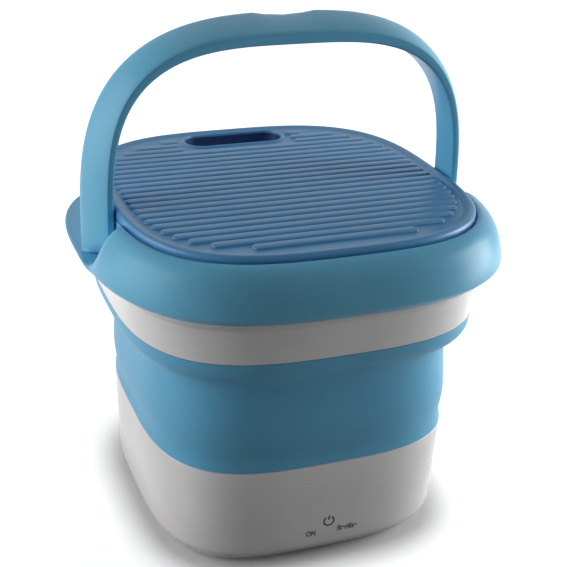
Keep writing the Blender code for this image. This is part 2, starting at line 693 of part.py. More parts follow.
def make_tub_pan():
    flange_outer = BASE_TOP_HALF_WIDTH - BASE_WALL - MESH_GAP
    wall_inner = PAN_WALL_X
    wall_outer = wall_inner + PAN_WALL
    section = rounded_foot(wall_outer, PAN_BOTTOM_Z, PAN_ROUND, INNER_ROUND_STEPS)
    section += [(wall_outer, PAN_FLANGE_BOTTOM_Z), (flange_outer, PAN_FLANGE_BOTTOM_Z)]
    section += [(flange_outer, PAN_FLANGE_TOP_Z), (wall_inner, PAN_FLANGE_TOP_Z)]
    inside = PAN_ROUND - PAN_WALL
    section += reversed(rounded_foot(wall_inner, PAN_FLOOR_Z, inside, INNER_ROUND_STEPS))
    mesh = ring_mesh("tub_pan", base_point, section, capped=True)
    pan = add_part("tub_pan", mesh, WHITE)
    housing = Matrix.Translation(Z_AXIS * HOUSING_BOTTOM_Z)
    height = PAN_BOTTOM_Z - HOUSING_BOTTOM_Z + WELD_DEPTH
    join(pan, cylinders("bearing_housing", HOUSING_RADIUS, height, [housing]), "bearing_housing")
    posts = [Matrix.Translation((x, y, POST_BOTTOM_Z)) for x, y in motor_post_places()]
    height = PAN_BOTTOM_Z - POST_BOTTOM_Z + WELD_DEPTH
    join(pan, cylinders("motor_posts", POST_RADIUS, height, posts), "motor_posts")
    bore = Matrix.Translation(Z_AXIS * (HOUSING_BOTTOM_Z - CUT_OVERRUN))
    height = PAN_FLOOR_Z - HOUSING_BOTTOM_Z + 2 * CUT_OVERRUN
    cut(pan, cylinders("bearing_bore", BUSH_RADIUS + MESH_GAP, height, [bore]), "bearing_bore")
    window = Matrix.Translation((0, LENS_Y, PAN_BOTTOM_Z - CUT_OVERRUN))
    height = PAN_WALL + 2 * CUT_OVERRUN
    cut(pan, cylinders("lens_hole", LENS_RADIUS + MESH_GAP, height, [window]), "lens_hole")
    screw_holes("pan_screw_holes", pan, base_clamp_places(), clamp_screw_length())
    screw_holes("post_screw_holes", pan, motor_screw_places(), SCREW_LENGTH)
    start = Vector((PAN_WALL_X - CUT_OVERRUN, 0, SPOUT_Z))
    through = PAN_WALL + 2 * CUT_OVERRUN
    hole = cylinders("drain_hole", SPOUT_RADIUS + MESH_GAP, through, [pointing(X_AXIS, start)])
    cut(pan, hole, "drain_hole")


def make_base_clamp():
    inner = BASE_CLAMP_OUTER - CLAMP_WIDTH
    top = BASE_CLAMP_Z + CLAMP_THICKNESS
    section = [
        (BASE_CLAMP_OUTER, BASE_CLAMP_Z), (BASE_CLAMP_OUTER, top), (inner, top),
        (inner, BASE_CLAMP_Z),
    ]
    mesh = ring_mesh("base_clamp_ring", base_point, section)
    ring = add_part("base_clamp_ring", mesh, WHITE)
    screw_holes("base_ring_holes", ring, base_clamp_places(), clamp_screw_length())
    screws("base_clamp_screw", base_clamp_places(), clamp_screw_length())


# Soft wall
ROLL_SHARES = ((0.12, 0.125), (0.31, 0.155), (0.74, 0.205), (0.92, 0.245), (1.0, 0.30))
BARREL_SHARES = ((-0.2, 0.48), (1.0, 0.65), (0.4, 0.80), (0.0, 0.93))


def wall_outside():
    """Outer face of the soft wall, from the band down to the base."""
    band = LID_HALF_WIDTH + BAND_BOTTOM_REACH - WALL_SIDE_SHRINK
    step = band - WALL_NECK_HALF_WIDTH
    swell = WALL_BARREL_HALF_WIDTH - WALL_WAIST_HALF_WIDTH
    foot = BASE_TOP_HALF_WIDTH - WALL_SIDE_SHRINK
    points = [(band, BAND_BOTTOM_Z - MESH_GAP)]
    points += [(band - a * step, BAND_BOTTOM_Z - b * WALL_DROP) for a, b in ROLL_SHARES]
    points += [
        (WALL_WAIST_HALF_WIDTH + a * swell, BAND_BOTTOM_Z - b * WALL_DROP)
        for a, b in BARREL_SHARES
    ]
    return points + [(foot, BASE_TOP_Z + MESH_GAP)]


def inward(points, thickness):
    """The same line moved inward by a thickness, square to its own run."""
    moved = []
    for index, (x, z) in enumerate(points):
        before = points[max(index - 1, 0)]
        after = points[min(index + 1, len(points) - 1)]
        run = Vector((after[0] - before[0], after[1] - before[1])).normalized()
        moved.append((x + run.y * thickness, z - run.x * thickness))
    return moved


def make_bellows():
    outside = wall_outside()
    inside = inward(outside, WALL_THICKNESS)
    band_inner = LID_HALF_WIDTH + BAND_BOTTOM_REACH - BAND_WALL - MESH_GAP
    top_flange = BELLOWS_TOP_FLANGE_Z + WALL_FLANGE
    top_reach = LID_HALF_WIDTH + BAND_CLAMP_OUTER - CLAMP_WIDTH
    shell_inner = BASE_TOP_HALF_WIDTH - BASE_WALL - MESH_GAP
    low_reach = BASE_CLAMP_OUTER - CLAMP_WIDTH
    section = [(top_reach, BELLOWS_TOP_FLANGE_Z), (top_reach, top_flange)]
    section += [(band_inner, top_flange), (band_inner, BAND_BOTTOM_Z - MESH_GAP)]
    section += outside
    section += [(shell_inner, BASE_TOP_Z + MESH_GAP), (shell_inner, BELLOWS_FLANGE_Z)]
    section += [(low_reach, BELLOWS_FLANGE_Z), (low_reach, BELLOWS_FLANGE_Z + WALL_FLANGE)]
    section += [(shell_inner - WALL_THICKNESS, BELLOWS_FLANGE_Z + WALL_FLANGE)]
    section += reversed(inside[1:-1])
    section += [(band_inner - WALL_THICKNESS, BAND_BOTTOM_Z)]
    section += [(band_inner - WALL_THICKNESS, BELLOWS_TOP_FLANGE_Z)]
    mesh = ring_mesh("bellows", wall_point, section)
    bellows = add_part("bellows", mesh, SOFT_BLUE)
    screw_holes("low_wall_holes", bellows, base_clamp_places(), clamp_screw_length())
    screw_holes("top_wall_holes", bellows, band_clamp_places(), band_screw_length())


# Collar
def band_screw_length():
    return CLAMP_THICKNESS + WALL_FLANGE + BAND_SHELF_THICKNESS + 3 * MESH_GAP


def make_band():
    shelf_inner = BAND_CLAMP_OUTER - CLAMP_WIDTH
    low_inner = BAND_BOTTOM_REACH - BAND_WALL
    top_inner = BAND_TOP_REACH - BAND_WALL
    shelf_top = BAND_SHELF_Z + BAND_SHELF_THICKNESS
    section = [
        (BAND_BOTTOM_REACH, BAND_BOTTOM_Z), (BAND_TOP_REACH, FLANGE_BOTTOM_Z - MESH_GAP),
        (LIP_REACH - MESH_GAP, FLANGE_BOTTOM_Z), (LIP_REACH, FLANGE_TOP_Z),
        (-RIM_WALL, FLANGE_TOP_Z), (-RIM_WALL, FLANGE_BOTTOM_Z), (top_inner, FLANGE_BOTTOM_Z),
        (low_inner, shelf_top), (shelf_inner, shelf_top), (shelf_inner, BAND_SHELF_Z),
        (low_inner, BAND_SHELF_Z), (low_inner, BAND_BOTTOM_Z),
    ]
    mesh = ring_mesh("upper_band", collar_point, section)
    band = add_part("upper_band", mesh, WHITE)
    screw_holes("band_shelf_holes", band, band_clamp_places(), band_screw_length())
    every = rim_screw_places(FRONT_RIM_SCREW_ANGLES + REAR_RIM_SCREW_ANGLES)
    screw_holes("band_flange_holes", band, every, RIM_SCREW_LENGTH)
    inner = BAND_CLAMP_OUTER - CLAMP_WIDTH
    top = BAND_CLAMP_Z + CLAMP_THICKNESS
    section = [
        (BAND_CLAMP_OUTER, BAND_CLAMP_Z), (BAND_CLAMP_OUTER, top), (inner, top),
        (inner, BAND_CLAMP_Z),
    ]
    mesh = ring_mesh("band_clamp_ring", collar_point, section)
    ring = add_part("band_clamp_ring", mesh, WHITE)
    screw_holes("band_ring_holes", ring, band_clamp_places(), band_screw_length())
    screws("band_clamp_screw", band_clamp_places(), band_screw_length())
    screws("rim_screw", every, RIM_SCREW_LENGTH)


FAIRING_SHARES = ((0.08, 0.0), (0.36, 0.12), (0.62, 0.32), (0.82, 0.58), (0.95, 0.82))
LOW_HOLLOW_SHARE = 0.84
MIDDLE_HOLLOW_SHARE = 0.59
TOP_HOLLOW_SHARE = 0.34
LEDGE_SHARES = ((0.0, 0.0), (0.2, 0.0), (0.45, 0.0), (0.7, 0.0), (0.88, 0.0), (0.97, 0.1), (1.0, 0.4))
LEDGE_HOLLOW_SHARES = (0.96, 0.8, 0.6, 0.4)


def fairing_section():
    """Rim section at the front: a tall rounded fairing beside the lid."""
    rise = FAIRING_TOP_Z - RIM_WIDEST_Z
    swell = RIM_REACH - RIM_GROOVE
    outside = [(RIM_GROOVE, FAIRING_TOP_Z - LID_FIELD_DROP / 2)]
    outside += [(RIM_GROOVE + a * swell, FAIRING_TOP_Z - b * rise) for a, b in FAIRING_SHARES]
    outside += [(RIM_REACH, RIM_WIDEST_Z), (RIM_EDGE_REACH, RIM_EDGE_Z)]
    hollow_top = LID_SEAT_Z - RIM_WALL
    low_z, middle_z = (FAIRING_TOP_Z - b * rise for a, b in reversed(FAIRING_SHARES[-2:]))
    hollow = [
        (RIM_EDGE_REACH - RIM_WALL, RIM_EDGE_Z),
        (RIM_REACH - 1.5 * RIM_WALL, RIM_WIDEST_Z + RIM_WALL / 2),
        (RIM_GROOVE + LOW_HOLLOW_SHARE * swell - RIM_WALL / 3, low_z),
        (RIM_GROOVE + MIDDLE_HOLLOW_SHARE * swell, middle_z),
        (RIM_GROOVE + TOP_HOLLOW_SHARE * swell, hollow_top),
        (0, hollow_top), (0, RIM_EDGE_Z),
    ]
    return [(-RIM_WALL, RIM_EDGE_Z), (-RIM_WALL, LID_SEAT_Z), (RIM_GROOVE, LID_SEAT_Z)] + (
        outside + hollow
    )


def ledge_section():
    """Rim section at the sides and rear: a low ledge outside a thin wall."""
    outside = [(a * RIM_REACH, LEDGE_Z - b * LEDGE_HEIGHT) for a, b in LEDGE_SHARES]
    outside += [(RIM_EDGE_REACH, RIM_EDGE_Z)]
    hollow_top = RIM_EDGE_Z + LEDGE_HOLLOW
    inside = RIM_EDGE_REACH - RIM_WALL
    hollow = [(inside, RIM_EDGE_Z)]
    hollow += [(share * inside, hollow_top) for share in LEDGE_HOLLOW_SHARES]
    hollow += [(0, hollow_top), (0, RIM_EDGE_Z)]
    return [(-RIM_WALL, RIM_EDGE_Z), (-RIM_WALL, LID_SEAT_Z), (0, LID_SEAT_Z)] + (
        outside + hollow
    )


def rim_angles():
    """The outline's directions, with closer ones where the fairing drops to the ledge."""
    first = math.atan2(-SHOULDER_FRONT_Y, LID_HALF_WIDTH)
    last = math.atan2(-SHOULDER_REAR_Y, LID_HALF_WIDTH)
    close = [first + (last - first) * step / SHOULDER_STEPS for step in range(SHOULDER_STEPS + 1)]
    spaced = close + [-math.pi - angle for angle in close]
    margin = (last - first) / SHOULDER_STEPS
    angles = [
        angle for angle in outline_angles(RING_SEGMENTS)
        if all(abs(angle - other) > margin for other in spaced)
    ]
    return sorted(angles + spaced)


def rim_point_row(angle):
    y = outline_point(LID_HALF_WIDTH, LID_HALF_DEPTH, angle).y
    share = (y + SHOULDER_FRONT_Y) / (SHOULDER_FRONT_Y - SHOULDER_REAR_Y)
    share = min(max(share, 0), 1)
    share = share * share * (3 - 2 * share)
    row = []
    for front, rear in zip(fairing_section(), ledge_section()):
        reach = front[0] + (rear[0] - front[0]) * share
        z = front[1] + (rear[1] - front[1]) * share
        row.append(collar_point(reach, z, angle))
    return row


def make_rim():
    rim = add_part("rim", loft("rim", rim_point_row, rim_angles(), False), BLUE)
    places = [
        Matrix.Translation(Z_AXIS * (MESH_GAP + RIM_EDGE_Z - FLANGE_BOTTOM_Z)) @ place
        for place in rim_screw_places(FRONT_RIM_SCREW_ANGLES)
    ]
    height = LID_SEAT_Z - RIM_WALL - RIM_EDGE_Z + WELD_DEPTH
    join(rim, cylinders("rim_bosses", BOSS_RADIUS, height, places), "rim_bosses")
    every = rim_screw_places(FRONT_RIM_SCREW_ANGLES + REAR_RIM_SCREW_ANGLES)
    screw_holes("rim_screw_holes", rim, every, RIM_SCREW_LENGTH)
    holes = []
    for side in (-1, 1):
        start = Vector((side * (WALL_INNER_X - CUT_OVERRUN), PIVOT_Y, PIVOT_Z))
        holes.append(pointing(X_AXIS * side, start))
    length = RIM_WALL + 2 * CUT_OVERRUN
    cut(rim, cylinders("rim_pin_holes", PIN_RADIUS + RUNNING_GAP, length, holes), "rim_pin_holes")


# Lid
def stadium(name, length, width, bottom, top, centre):
    """An upright prism with round ends, long in X."""
    bm = bmesh.new()
    radius = width / 2
    straight = length / 2 - radius
    floor = []
    for side in (1, -1):
        for step in range(ROUND_SEGMENTS // 2 + 1):
            turn = math.pi * step / (ROUND_SEGMENTS // 2) - math.pi / 2
            x = side * (straight + radius * math.cos(turn))
            y = side * radius * math.sin(turn)
            floor.append(bm.verts.new((centre.x + x, centre.y + y, bottom)))
    face = bm.faces.new(floor)
    raised = bmesh.ops.extrude_face_region(bm, geom=[face])
    moved = [item for item in raised["geom"] if isinstance(item, bmesh.types.BMVert)]
    bmesh.ops.translate(bm, vec=Z_AXIS * (top - bottom), verts=moved)
    return mesh_from(bm, name)


def rib_mesh(name, half_length, y, bottom, top):
    """A low rib with sloping sides and round ends."""
    bm = bmesh.new()
    rings = []
    for z, radius in ((bottom, RIB_WIDTH / 2), (top, RIB_TOP_SHARE * RIB_WIDTH / 2)):
        ring = []
        for side in (1, -1):
            for step in range(RIB_END_STEPS + 1):
                turn = math.pi * step / RIB_END_STEPS - math.pi / 2
                x = side * (half_length - RIB_WIDTH / 2 + radius * math.cos(turn))
                ring.append(bm.verts.new((x, y + side * radius * math.sin(turn), z)))
        rings.append(ring)
    count = len(rings[0])
    for index in range(count):
        following = (index + 1) % count
        bm.faces.new((rings[0][index], rings[0][following], rings[1][following], rings[1][index]))
    bm.faces.new(rings[0])
    bm.faces.new(rings[1])
    return mesh_from(bm, name)


def make_lid():
    outer = -RIM_WALL - LID_SKIRT_GAP
    inner = outer - LID_SKIRT_THICKNESS
    seat = LID_SEAT_Z + MESH_GAP
    field = LID_TOP_Z - LID_FIELD_DROP
    skirt = LID_SEAT_Z - LID_SKIRT_HEIGHT
    bead = LID_FIELD_DROP
    section = [
        (inner, field - LID_PLATE), (inner, skirt), (outer, skirt), (outer, seat), (0, seat),
        (0, field), (-bead, LID_TOP_Z), (bead - LID_BEAD_WIDTH, LID_TOP_Z),
        (-LID_BEAD_WIDTH, field),
    ]
    mesh = ring_mesh("lid", collar_point, section, capped=True)
    lid = add_part("lid", mesh, BLUE)
    ribs = []
    for number in range(RIB_COUNT):
        y = RIB_FIRST_Y + number * RIB_PITCH
        reach = outline_half_length(LID_HALF_WIDTH - RIB_INSET_X, LID_HALF_DEPTH - RIB_INSET_Y, y)
        ribs.append(rib_mesh(f"rib_{number}", reach, y, field - WELD_DEPTH, field + RIB_HEIGHT))
    bm = bmesh.new()
    for rib in ribs:
        bm.from_mesh(rib)
    join(lid, mesh_from(bm, "lid_ribs"), "lid_ribs")
    centre = Vector((0, SLOT_Y, 0))
    around = 2 * SLOT_BORDER
    bottom = LID_TOP_Z - SLOT_DEPTH - SLOT_FLOOR
    pocket = stadium(
        "slot_pocket", SLOT_LENGTH + around, SLOT_WIDTH + around, bottom,
        LID_TOP_Z - MESH_GAP, centre,
    )
    join(lid, pocket, "slot_pocket")
    hollow = stadium(
        "slot_hollow", SLOT_LENGTH, SLOT_WIDTH, LID_TOP_Z - SLOT_DEPTH,
        LID_TOP_Z + CUT_OVERRUN, centre,
    )
    cut(lid, hollow, "slot_hollow")


# Handle
TIP_SHARES = (0.0, 0.12, 0.35, 0.65, 1.0)
EDGE_ROUND_SHARE = 0.3
FACE_SHARES = (1 / 3, 2 / 3)


def arch_point(half_width, height, exponent, turn):
    x = half_width * abs(math.cos(turn)) ** (2 / exponent)
    z = HANDLE_ARCH_Z + height * abs(math.sin(turn)) ** (2 / exponent)
    return Vector((math.copysign(x, math.cos(turn)), 0, z))


def handle_stations():
    """Inner point, outer point, front, rear and width of the front strip, tip to tip."""
    left = []
    tip = PIVOT_Z - PIVOT_TIP_RADIUS
    for share in TIP_SHARES:
        below = PIVOT_TIP_RADIUS * (1 - share)
        rear = PIVOT_Y + math.sqrt(max(PIVOT_TIP_RADIUS**2 - below**2, 0))
        height = (PIVOT_Z - below - tip) / HANDLE_TIP_FRONT_ROUND
        front = HANDLE_FRONT_Y + HANDLE_TIP_FRONT_ROUND * (1 - math.sqrt(1 - (1 - height) ** 2))
        left.append((PIVOT_Z - below, front, rear))
    for share in (0.5, 1.0):
        height = share * HANDLE_TIP_FRONT_ROUND + (1 - share) * PIVOT_TIP_RADIUS
        lean = 1 - height / HANDLE_TIP_FRONT_ROUND
        front = HANDLE_FRONT_Y + HANDLE_TIP_FRONT_ROUND * (1 - math.sqrt(1 - lean**2))
        left.append((tip + height, front, HANDLE_REAR_Y))
    stations = []
    for z, front, rear in left:
        inner = Vector((-HANDLE_INNER_X, 0, z))
        outer = Vector((-HANDLE_HALF_WIDTH, 0, z))
        stations.append((inner, outer, front, rear, HANDLE_LEG_FLAT))
    rise = HANDLE_TOP_Z - HANDLE_ARCH_Z
    arch = []
    for step in range(HANDLE_ARCH_STEPS + 1):
        turn = math.pi - math.pi * step / HANDLE_ARCH_STEPS
        inner = arch_point(
            HANDLE_INNER_X, rise - HANDLE_TOP_THICKNESS, HANDLE_INNER_EXPONENT, turn
        )
        outer = arch_point(HANDLE_HALF_WIDTH, rise, HANDLE_OUTER_EXPONENT, turn)
        outer.z -= GRIP_DIP * max(0, 1 - (outer.x / GRIP_HALF_LENGTH) ** 2)
        side = (outer.x / HANDLE_HALF_WIDTH) ** 2
        flat = HANDLE_TOP_FLAT + (HANDLE_LEG_FLAT - HANDLE_TOP_FLAT) * side
        arch.append((inner, outer, HANDLE_FRONT_Y, HANDLE_REAR_Y, flat))
    flip = Matrix.Diagonal((-1, 1, 1))
    mirrored = [(flip @ inner, flip @ outer, *rest) for inner, outer, *rest in reversed(stations)]
    return stations + arch + mirrored


def handle_section(inner, outer, front, rear, flat):
    """Nine points: a narrow front strip, then an outer face that leans back to the rear edge."""
    across = outer - inner
    thickness = across.length
    width = rear - front
    small = min(HANDLE_EDGE_ROUND, EDGE_ROUND_SHARE * width)
    lean = Vector((thickness - flat, width - small, 0))
    outward = Vector((lean.y, -lean.x, 0)).normalized()
    places = [(0, small), (small, 0), (flat, 0)]
    for share in FACE_SHARES:
        bulge = HANDLE_FACE_BULGE * 4 * share * (1 - share)
        place = Vector((flat, 0, 0)) + lean * share + outward * bulge
        places.append((place.x, place.y))
    places += [(thickness, width - small), (thickness - small, width), (small, width)]
    places.append((0, width - small))
    direction = across.normalized()
    return [inner + direction * u + Y_AXIS * (front + v) for u, v in places]


def make_handle():
    bm = bmesh.new()
    rings = []
    for station in handle_stations():
        rings.append([bm.verts.new(place) for place in handle_section(*station)])
    for ring, following in zip(rings, rings[1:]):
        for index in range(len(ring)):
            after = (index + 1) % len(ring)
            bm.faces.new((ring[index], ring[after], following[after], following[index]))
    bm.faces.new(rings[0])
    bm.faces.new(rings[-1])
    pivot = Vector((0, PIVOT_Y, PIVOT_Z))
    handle = add_part("handle", mesh_from(bm, "handle"), BLUE, pivot)
    bores = []
    for side in (-1, 1):
        start = Vector((side * (HANDLE_INNER_X - CUT_OVERRUN), PIVOT_Y, PIVOT_Z))
        bores.append(pointing(X_AXIS * side, start))
    depth = PIN_GRIP + CUT_OVERRUN + MESH_GAP
    cut(handle, cylinders("pin_bores", PIN_RADIUS + RUNNING_GAP, depth, bores), "pin_bores")


def make_pins():
    for side, label in ((-1, "left"), (1, "right")):
        name = f"handle_pin_{label}"
        head = WALL_INNER_X - MESH_GAP
        profile = [
            (0, head - PIN_HEAD_THICKNESS), (PIN_HEAD_RADIUS, head - PIN_HEAD_THICKNESS),
            (PIN_HEAD_RADIUS, head), (PIN_RADIUS, head),
            (PIN_RADIUS, HANDLE_INNER_X + PIN_GRIP), (0, HANDLE_INNER_X + PIN_GRIP),
        ]
        place = pointing(X_AXIS * side, Vector((0, PIVOT_Y, PIVOT_Z)))
        mesh = turned_mesh(name, profile)
        mesh.transform(place)
        add_part(name, mesh, STEEL)
        name = f"handle_washer_{label}"
        near = LID_HALF_WIDTH + MESH_GAP
        profile = tube_profile(
            WASHER_RADIUS, PIN_RADIUS + RUNNING_GAP, near, HANDLE_INNER_X - MESH_GAP
        )
        mesh = turned_mesh(name, profile, closed=True)
        mesh.transform(place)
        add_part(name, mesh, BLACK)


# Drive
HUB_WAIST_SHARE = 1.35
VANE_START_SHARE = 0.8
VANE_CORE_SHARE = 0.9
NUT_TOP_SHARE = 0.6


def motor_post_places():
    return [(side * POST_PLACE, end * POST_PLACE) for side in (-1, 1) for end in (-1, 1)]


def motor_screw_places():
    bottom = BRACKET_Z - MESH_GAP
    return [Matrix.Translation((x, y, bottom)) for x, y in motor_post_places()]


def make_motor():
    outside = MOTOR_RADIUS
    inside = MOTOR_RADIUS - CAN_WALL
    floor = CAN_BOTTOM_Z + CAN_WALL
    profile = [
        (0, floor), (inside, floor), (inside, CAN_TOP_Z), (outside, CAN_TOP_Z),
        (outside, CAN_BOTTOM_Z), (0, CAN_BOTTOM_Z),
    ]
    add_part("motor_can", turned_mesh("motor_can", profile), STEEL)
    low = CAN_BOTTOM_Z + ROTOR_END_GAP
    high = CAN_TOP_Z - ROTOR_END_GAP
    profile = tube_profile(inside - MESH_GAP, STATOR_INNER_RADIUS, low, high)
    add_part("stator", turned_mesh("stator", profile, closed=True), COPPER)
    bore = SHAFT_RADIUS + RUNNING_GAP
    profile = tube_profile(ROTOR_RADIUS, bore, low, high)
    add_part("rotor", turned_mesh("rotor", profile, closed=True), STEEL)
    bottom = floor + MESH_GAP
    profile = tube_profile(BUSH_RADIUS, bore, bottom, bottom + BUSH_LENGTH / 2)
    add_part("lower_bush", turned_mesh("lower_bush", profile, closed=True), STEEL)
    profile = tube_profile(BUSH_RADIUS, bore, HOUSING_BOTTOM_Z, HOUSING_BOTTOM_Z + BUSH_LENGTH)
    add_part("upper_bush", turned_mesh("upper_bush", profile, closed=True), STEEL)
    start = HOUSING_BOTTOM_Z + BUSH_LENGTH + MESH_GAP
    profile = tube_profile(BUSH_RADIUS, bore, start, PAN_FLOOR_Z)
    add_part("shaft_seal", turned_mesh("shaft_seal", profile, closed=True), RUBBER)
    profile = disc_profile(SHAFT_RADIUS, bottom, SHAFT_TOP_Z)
    add_part("drive_shaft", turned_mesh("drive_shaft", profile), STEEL)


def make_bracket():
    side = BRACKET_HALF_SIDE
    low = Vector((-side, -side, BRACKET_Z))
    high = Vector((side, side, BRACKET_Z + BRACKET_THICKNESS))
    plate = add_part("motor_bracket", box_mesh("motor_bracket", low, high), STEEL)
    start = Matrix.Translation(Z_AXIS * (BRACKET_Z - CUT_OVERRUN))
    height = BRACKET_THICKNESS + 2 * CUT_OVERRUN
    hole = cylinders("bracket_hole", BRACKET_HOLE_RADIUS, height, [start])
    cut(plate, hole, "bracket_hole")
    screw_holes("bracket_screw_holes", plate, motor_screw_places(), SCREW_LENGTH)
    screws("motor_screw", motor_screw_places(), SCREW_LENGTH)


def make_impeller():
    rim_top = IMPELLER_Z + IMPELLER_DISC
    bore = SHAFT_RADIUS + RUNNING_GAP
    profile = [
        (bore, HUB_TOP_Z), (IMPELLER_HUB_RADIUS, HUB_TOP_Z),
        (HUB_WAIST_SHARE * IMPELLER_HUB_RADIUS, (HUB_TOP_Z + rim_top) / 2),
        (2 * IMPELLER_HUB_RADIUS, rim_top), (IMPELLER_RADIUS, rim_top),
        (IMPELLER_RADIUS, IMPELLER_Z), (bore, IMPELLER_Z),
    ]
    mesh = turned_mesh("impeller", profile, 2 * ROUND_SEGMENTS, closed=True)
    impeller = add_part("impeller", mesh, WHITE)
    bm = bmesh.new()
    inner = VANE_START_SHARE * IMPELLER_HUB_RADIUS
    outer = IMPELLER_RADIUS - VANE_INSET
    low = rim_top - WELD_DEPTH
    size = Vector((outer - inner, VANE_THICKNESS, VANE_HEIGHT))
    for number in range(VANE_COUNT):
        turn = Matrix.Rotation(2 * math.pi * (number + 0.5) / VANE_COUNT, 4, "Z")
        centre = Vector(((outer + inner) / 2, 0, low + VANE_HEIGHT / 2))
        made = bmesh.ops.create_cube(bm, size=1)["verts"]
        placed = turn @ Matrix.Translation(centre) @ Matrix.Diagonal((*size, 1))
        bmesh.ops.transform(bm, matrix=placed, verts=made)
    vanes = mesh_from(bm, "vanes")
    vane_tool = add_cutter("vanes", vanes)
    core = Matrix.Translation(Z_AXIS * (low - CUT_OVERRUN))
    radius = VANE_CORE_SHARE * IMPELLER_HUB_RADIUS
    clearance = cylinders("vane_core", radius, VANE_HEIGHT + 2 * CUT_OVERRUN, [core])
    boolean(vane_tool, add_cutter("vane_core", clearance), "DIFFERENCE")
    boolean(impeller, vane_tool, "UNION")
    top = NUT_Z + NUT_HEIGHT
    profile = [
        (0, top), (NUT_TOP_SHARE * NUT_RADIUS, top), (NUT_RADIUS, top - NUT_ROOF - MESH_GAP),
        (NUT_RADIUS, NUT_Z), (bore, NUT_Z), (bore, top - NUT_ROOF), (0, top - NUT_ROOF),
    ]
    add_part("impeller_nut", turned_mesh("impeller_nut", profile), WHITE)


# Controls and steriliser
def board_face_y():
    return -base_wall_y(KEY_Z) + BOARD_STANDOFF + MESH_GAP


def board_screw_places():
    rear = board_face_y() + BOARD_THICKNESS + MESH_GAP
    return [pointing(-Y_AXIS, Vector((side * BOARD_POST_X, rear, KEY_Z))) for side in (-1, 1)]


def make_controls():
    face = board_face_y()
    low = Vector((-BOARD_HALF_LENGTH, face, KEY_Z - BOARD_BELOW_KEYS))
    high = Vector((BOARD_HALF_LENGTH, face + BOARD_THICKNESS, KEY_Z + BOARD_ABOVE_KEYS))
    board = add_part("control_board", box_mesh("control_board", low, high), BOARD)
    screw_holes("board_holes", board, board_screw_places(), BOARD_STANDOFF)
    screws("board_screw", board_screw_places(), BOARD_STANDOFF)
    for name, x in (("power", POWER_KEY_X), ("sterilise", STERILISE_KEY_X)):
        start = Vector((x, face - MESH_GAP, KEY_Z))
        wall = base_wall_y(KEY_Z - KEY_RADIUS, x + KEY_RADIUS)
        length = wall + face - MESH_GAP - CONTACT_GAP
        place = pointing(-Y_AXIS, start)
        mesh = cylinders(f"touch_contact_{name}", KEY_RADIUS, length, [place])
        add_part(f"touch_contact_{name}", mesh, RUBBER)


def make_steriliser():
    top = PAN_FLOOR_Z + MESH_GAP
    bottom = PAN_BOTTOM_Z - MESH_GAP
    profile = [
        (0, top + LENS_FLANGE_THICKNESS), (LENS_RADIUS + LENS_FLANGE, top + LENS_FLANGE_THICKNESS),
        (LENS_RADIUS + LENS_FLANGE, top), (LENS_RADIUS, top), (LENS_RADIUS, bottom), (0, bottom),
    ]
    mesh = turned_mesh("steriliser_lens", profile)
    mesh.transform(Matrix.Translation(Y_AXIS * LENS_Y))
    add_part("steriliser_lens", mesh, CLEAR)
    upper = bottom - MESH_GAP
    mesh = turned_mesh("steriliser_lamp", disc_profile(LAMP_RADIUS, upper - LAMP_HEIGHT, upper))
    mesh.transform(Matrix.Translation(Y_AXIS * LENS_Y))
    add_part("steriliser_lamp", mesh, BLACK)


# Inlet and drain
def make_jack():
    wall = base_wall_y(JACK_Z)
    mouth = wall + BASE_WALL
    low = Vector((-JACK_BODY_HALF, wall - MESH_GAP - JACK_BODY_DEPTH, JACK_Z - JACK_BODY_HALF))
    high = Vector((JACK_BODY_HALF, wall - 2 * MESH_GAP, JACK_Z + JACK_BODY_HALF))
    jack = add_part("dc_jack", box_mesh("dc_jack", low, high), BLACK)
    start = pointing(Y_AXIS, Vector((0, wall - CUT_OVERRUN, JACK_Z)))
    length = mouth - wall + CUT_OVERRUN
    join(jack, cylinders("jack_barrel", JACK_BARREL_RADIUS, length, [start]), "jack_barrel")
    deep = pointing(Y_AXIS, Vector((0, mouth - JACK_BORE_DEPTH, JACK_Z)))
    reach = JACK_BORE_DEPTH + CUT_OVERRUN
    cut(jack, cylinders("jack_bore", JACK_BORE_RADIUS, reach, [deep]), "jack_bore")
    pin = pointing(Y_AXIS, Vector((0, mouth - JACK_BORE_DEPTH - CUT_OVERRUN, JACK_Z)))
    centre = cylinders("jack_pin", JACK_PIN_RADIUS, JACK_BORE_DEPTH, [pin], SCREW_SEGMENTS)
    join(jack, centre, "jack_pin")


